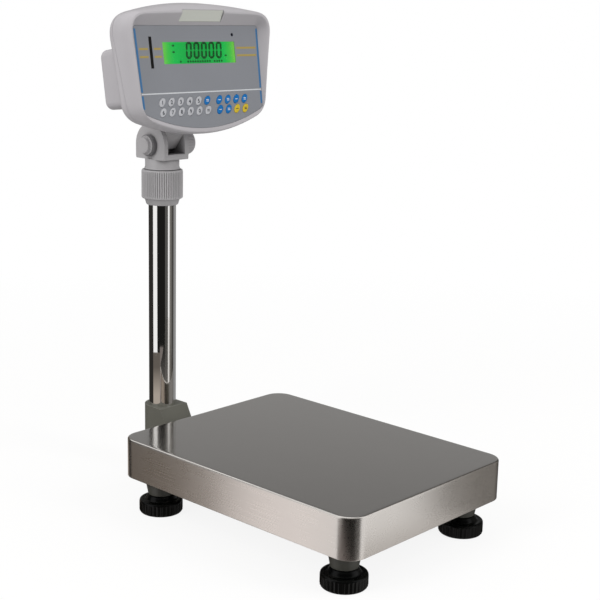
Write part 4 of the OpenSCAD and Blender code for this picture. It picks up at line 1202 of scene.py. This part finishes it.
# %% Backlight
LCD_HALF, LCD_LOW, LCD_HIGH, LCD_N, LCD_CORNER = 64, 78, 106, -1.88, 0.6
LCD_MIDDLE = (LCD_LOW + LCD_HIGH) / 2


def glowing(name, stops):
    material = bpy.data.materials.new(name)
    tree = blank(material)
    spot = own_spot(tree)
    from_middle = add(tree, "Math", {0: part_of(tree, spot, "X")}, operation="ABSOLUTE").outputs[0]
    to_end = between(tree, from_middle, 0.0, 1.0, 0.0, LCD_HALF * MM)
    speckle = between(tree, noise(tree, spot, 260.0), -0.02, 0.02)
    ramp = add(tree, "ValToRGB", {"Fac": sums(tree, "ADD", to_end, speckle)})
    for i, (where, tint) in enumerate(stops):
        stop = ramp.color_ramp.elements[i] if i < 2 else ramp.color_ramp.elements.new(where)
        stop.position, stop.color = where, colour(*tint)
    shader = add(tree, "BsdfPrincipled", {
        "Base Color": (0.02, 0.06, 0.03, 1), "Emission Color": ramp.outputs["Color"], "Emission Strength": 1.0,
        "Roughness": 0.4, "Specular IOR Level": 0.1})
    add(tree, "OutputMaterial", {"Surface": shader.outputs[0]})
    return material


backlight = glowing("Green backlight", [(0.0, (0, 152, 58)), (1.0, (112, 192, 70)), (0.5, (4, 168, 66)),
                                        (0.7, (14, 178, 72)), (0.87, (64, 186, 68))])
segment_ink = glowing("Dark segments", [(0.0, (0, 34, 6)), (1.0, (2, 48, 10))])
dress(board_green, "lcd_module")
lit = slab(0, LCD_MIDDLE, 2 * LCD_HALF, LCD_HIGH - LCD_LOW, LCD_CORNER, 4, LCD_N - 0.02, LCD_N)
on_head("display_backlight", lit, backlight, "lcd")
print("backlight", 2 * LCD_HALF, "by", LCD_HIGH - LCD_LOW, "mm")

# %% Digits and signs
DIGIT_FIRST, DIGIT_PITCH, DIGIT_FOOT, DIGIT_WIDE, DIGIT_TALL = -22.8, 13.4, 85.6, 7.4, 19.0
DIGIT_LEAN, DIGIT_THICK = 0.09, 3.3
DASH_FIRST, DASH_PITCH, DASH_LONG, DASH_V, DASH_THICK = -36, 4.3, 3.6, 80.9, 3.2


def segment(u0, v0, u1, v1, thick):
    a, b, along, half = plane_points(u0, v0, u1, v1, thick)
    tip = along * thick / 2
    points = [a, a + tip - half, b - tip - half, b, b - tip + half, a + tip + half]
    return prism(points, LCD_N, LCD_N + 0.03)


def digit_zero(u):
    wide, tall, mid = DIGIT_WIDE, DIGIT_TALL, DIGIT_TALL / 2
    bars = [(0, 0, wide, 0), (0, tall, wide, tall), (0, 0, 0, mid), (0, mid, 0, tall), (wide, 0, wide, mid),
            (wide, mid, wide, tall)]
    return [segment(u + x0 + DIGIT_LEAN * y0, DIGIT_FOOT + y0, u + x1 + DIGIT_LEAN * y1, DIGIT_FOOT + y1,
                    DIGIT_THICK) for x0, y0, x1, y1 in bars]


def dash(u, long, v, thick):
    return segment(u, v, u + long, v, thick)


shown = [bar for k in range(5) for bar in digit_zero(DIGIT_FIRST + DIGIT_PITCH * k)]
shown += [dash(DASH_FIRST + DASH_PITCH * k, DASH_LONG, DASH_V, DASH_THICK)
          for k in range(18) if k not in (1, 2, 13)]
shown += [dash(-47.5, 5, 101.5, 2.3), dash(-47.5, 5, 93.2, 2.3), dash(45, 4.5, 88, 2.2)]
on_head("display_digits", joined(*shown), segment_ink, "lcd")
print(len(shown), "display segments")

# %% [markdown]
# ## Windows and lamp
# The display window is a clear sheet, so its finish is a plain glass with only its roughness varied. The
# tall slot at the left is a smoked window for a row of indicator lamps, and the dot at the upper right is
# a small lamp lens.

# %% Clear finish
WINDOW_IOR = 1.28


def clear_sheet(name, tint, gloss):
    material = bpy.data.materials.new(name)
    tree = blank(material)
    values = {"Colour": colour(*tint), "Tone": 0.01, "Gloss Low": gloss[0], "Gloss High": gloss[1],
              "Grain Scale": 600.0}
    skin = add(tree, "Group", values, node_tree=GRAIN).outputs
    shader = add(tree, "BsdfPrincipled", {
        "Base Color": skin["Colour"], "Roughness": skin["Roughness"], "IOR": WINDOW_IOR,
        "Transmission Weight": 1.0, "Metallic": 0.0})
    add(tree, "OutputMaterial", {"Surface": shader.outputs[0]})
    return material


window_clear = clear_sheet("Clear window", (250, 252, 250), (0.01, 0.04))
smoked = finish("Smoked window", (14, 14, 16), (0.08, 0.16), grain=400, tone=0.1, bump=0.01)
lamp_lens = finish("Lamp lens", (22, 24, 40), (0.1, 0.2), grain=400, tone=0.05, bump=0.01)
print("three window finishes")

# %% Display window, indicator slot and lamp
WINDOW_WIDE, WINDOW_TALL, PANE_BACK = 127.5, 27.5, -1.6
SLOT_U, SLOT_V, SLOT_WIDE, SLOT_TALL = -84, 93, 4.6, 39.6
LAMP_U, LAMP_V = 61, 115
pane = slab(0, LCD_MIDDLE, WINDOW_WIDE, WINDOW_TALL, LCD_CORNER, 4, PANE_BACK, -0.2)
on_head("display_window", pane, window_clear, "lcd_glass", ["lcd_window"], bevel=0.2)
slot_pane = slab(SLOT_U, SLOT_V, SLOT_WIDE, SLOT_TALL, 1.2, 6, PANE_BACK, -0.3)
on_head("indicator_slot", slot_pane, smoked, "bar", ["bar_window"], bevel=0.25)
lens = turned(softened([(0.3, -4.6), (2.0, -4.6), (2.0, 0.0), (1.4, 0.32), (0.3, 0.4)], 0.5, 4), 40)
on_head("lamp_lens", moved(lens, LAMP_U, LAMP_V), lamp_lens, "lamp", ["status_lamp"])
print("window, slot and lamp in place")

# %% [markdown]
# ## Keys
# Twenty slanted oval keys stand a little proud of the panel. Each is skinned over ovals that shrink
# towards its crown, and a rim behind the panel keeps it in. Ten white keys carry numbers and the others
# plain bars. Marks ride with their key when it is pressed.

# %% Key caps
KEY_LONG, KEY_SHORT, KEY_SLANT, KEY_TOP, KEY_RIM = 6.7, 4.3, math.radians(48), 0.8, 1.5
white_key = finish("White key", (182, 184, 190), (0.34, 0.44), grain=2000, tone=0.02, bump=0.03)
blue_key = finish("Blue key", (0, 108, 180), (0.34, 0.44), grain=2000, tone=0.03, bump=0.03)
yellow_key = finish("Yellow key", (206, 180, 44), (0.34, 0.44), grain=2000, tone=0.03, bump=0.03)


def oval(grow, n, steps=48):
    points = []
    for i in range(steps):
        angle = 2 * math.pi * i / steps
        x, y = (KEY_LONG + grow) * math.cos(angle), (KEY_SHORT + grow) * math.sin(angle)
        points.append((x * math.cos(KEY_SLANT) - y * math.sin(KEY_SLANT),
                       x * math.sin(KEY_SLANT) + y * math.cos(KEY_SLANT), n))
    return points


key_shape = skinned([oval(KEY_RIM, -2.8), oval(KEY_RIM, -2.0), oval(0, -2.0), oval(0, 0.25), oval(-0.12, 0.5),
                     oval(-0.45, 0.68), oval(-1.2, 0.75), oval(-2.6, 0.79), oval(-3.8, KEY_TOP)])
print("key cap with", len(key_shape[1]), "faces")

# %% Marks on the keys
NUMERAL_TALL, CAPITAL_SHARE = 5.0, 0.72
dark_ink = finish("Dark ink", (38, 44, 56), (0.4, 0.5), grain=2600, tone=0.02, bump=0.02)


def numeral(text):
    letters = bpy.data.curves.new("numeral", "FONT")
    letters.body = text
    letters.size = NUMERAL_TALL / CAPITAL_SHARE
    letters.align_x = "CENTER"
    letters.resolution_u = 3
    letters.extrude = 0.02
    letters.offset = 0.18
    holder = put("numeral", letters)
    bpy.context.view_layer.update()
    mesh = bpy.data.meshes.new_from_object(holder.evaluated_get(bpy.context.evaluated_depsgraph_get()))
    points = [(p.co.x, p.co.y - NUMERAL_TALL / 2, p.co.z) for p in mesh.vertices]
    faces = [tuple(f.vertices) for f in mesh.polygons]
    bpy.data.objects.remove(holder)
    bpy.data.curves.remove(letters)
    bpy.data.meshes.remove(mesh)
    return points, faces


def bar_mark(k):
    count = 1 + k % 2
    flat = prism([(-2.2, -0.5), (2.2, -0.5), (2.2, 0.5), (-2.2, 0.5)], -0.02, 0.02)
    return joined(*(moved(flat, 0, 1.9 * (j - (count - 1) / 2)) for j in range(count)))


print("a two-bar mark has", len(bar_mark(1)[1]), "faces")

# %% Twenty keys in place
KEY_FIRST, KEY_PITCH, KEY_GAP, UPPER_ROW, LOWER_ROW = -74.5, 15.7, 6.2, 29.6, 16.7
KEY_NUMBERS = {0: "1", 1: "2", 2: "3", 3: "4", 4: "5", 10: "6", 11: "7", 12: "8", 13: "9", 14: "0"}
KEY_KINDS = {k: (blue_key, "key_blue", white_ink) for k in (5, 6, 7, 8, 9, 16, 17)}
KEY_KINDS.update({k: (yellow_key, "key_yellow", dark_ink) for k in (18, 19)})


def key_place(k):
    step = k % 10
    return KEY_FIRST + KEY_PITCH * step + (KEY_GAP if step >= 6 else 0), UPPER_ROW if k < 10 else LOWER_ROW


for k in range(20):
    surface, slot, ink = KEY_KINDS.get(k, (white_key, "key_white", dark_ink))
    key, (u, v) = "key_%d" % (k + 1), key_place(k)
    piece(key + "_cap", moved(key_shape, u, v), surface, key, [key], slot, face, sharp=50)
    mark = numeral(KEY_NUMBERS[k]) if k in KEY_NUMBERS else bar_mark(k)
    piece(key + "_mark", moved(mark, u, v, KEY_TOP), ink, key, (), slot, face)
print("20 keys,", len(KEY_NUMBERS), "of them numbered")

# %% [markdown]
# ## Sockets and what is inside
# On the back of the box are an inlet for the power lead and a round socket for the load cell's lead. Both
# are turned about their own axis, with their contacts as separate pins. Boards and battery are hidden
# inside and keep their solids.

# %% Sockets, boards and battery
SOCKET_V, SOCKET_FLOOR, SOCKET_SEAT = 49.5, -67.5, -62.7


def back_socket(name, u, outer, bore, pins, surface, node, slot):
    cup = softened([(bore, SOCKET_FLOOR), (bore, -77.8), (outer, -78.0), (outer, -76.6),
                    (outer - 0.3, SOCKET_SEAT), (bore, SOCKET_SEAT)], 0.35, 3, closed=True)
    on_head(name + "_shell", moved(turned(cup, 56, loop=True), u, SOCKET_V), surface, slot, [node])
    disc = turned([(0.2, -67.8), (bore + 0.2, -67.8), (bore + 0.2, -66.0), (0.2, -66.0)], 40)
    on_head(name + "_insulator", moved(disc, u, SOCKET_V), black_plastic, slot)
    pin = turned(softened([(0.1, -71.5), (0.7, -71.5), (0.7, -66.5), (0.1, -66.5)], 0.4, 3), 16)
    spread = bore * 0.55 if pins > 1 else 0.0
    angles = [2 * math.pi * i / pins for i in range(pins)]
    set_pins = [moved(pin, u + spread * math.cos(a), SOCKET_V + spread * math.sin(a)) for a in angles]
    on_head(name + "_pins", joined(*set_pins), gilt, slot)


back_socket("inlet", -70, 6, 3.8, 1, black_plastic, "power_inlet", "inlet")
back_socket("cell_lead", 70, 8, 6, 5, nickel, "cell_socket", "socket")
dress(board_green, "main_board", "key_board")
dress(battery_wrap, "battery")
print("two sockets")

# %% Print the sizes and finish
visual_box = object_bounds()
growth = [max(cad_box[0][i] - visual_box[0][i], visual_box[1][i] - cad_box[1][i]) for i in range(3)]
print("box grows by", [round(grown / MM, 2) for grown in growth], "mm")
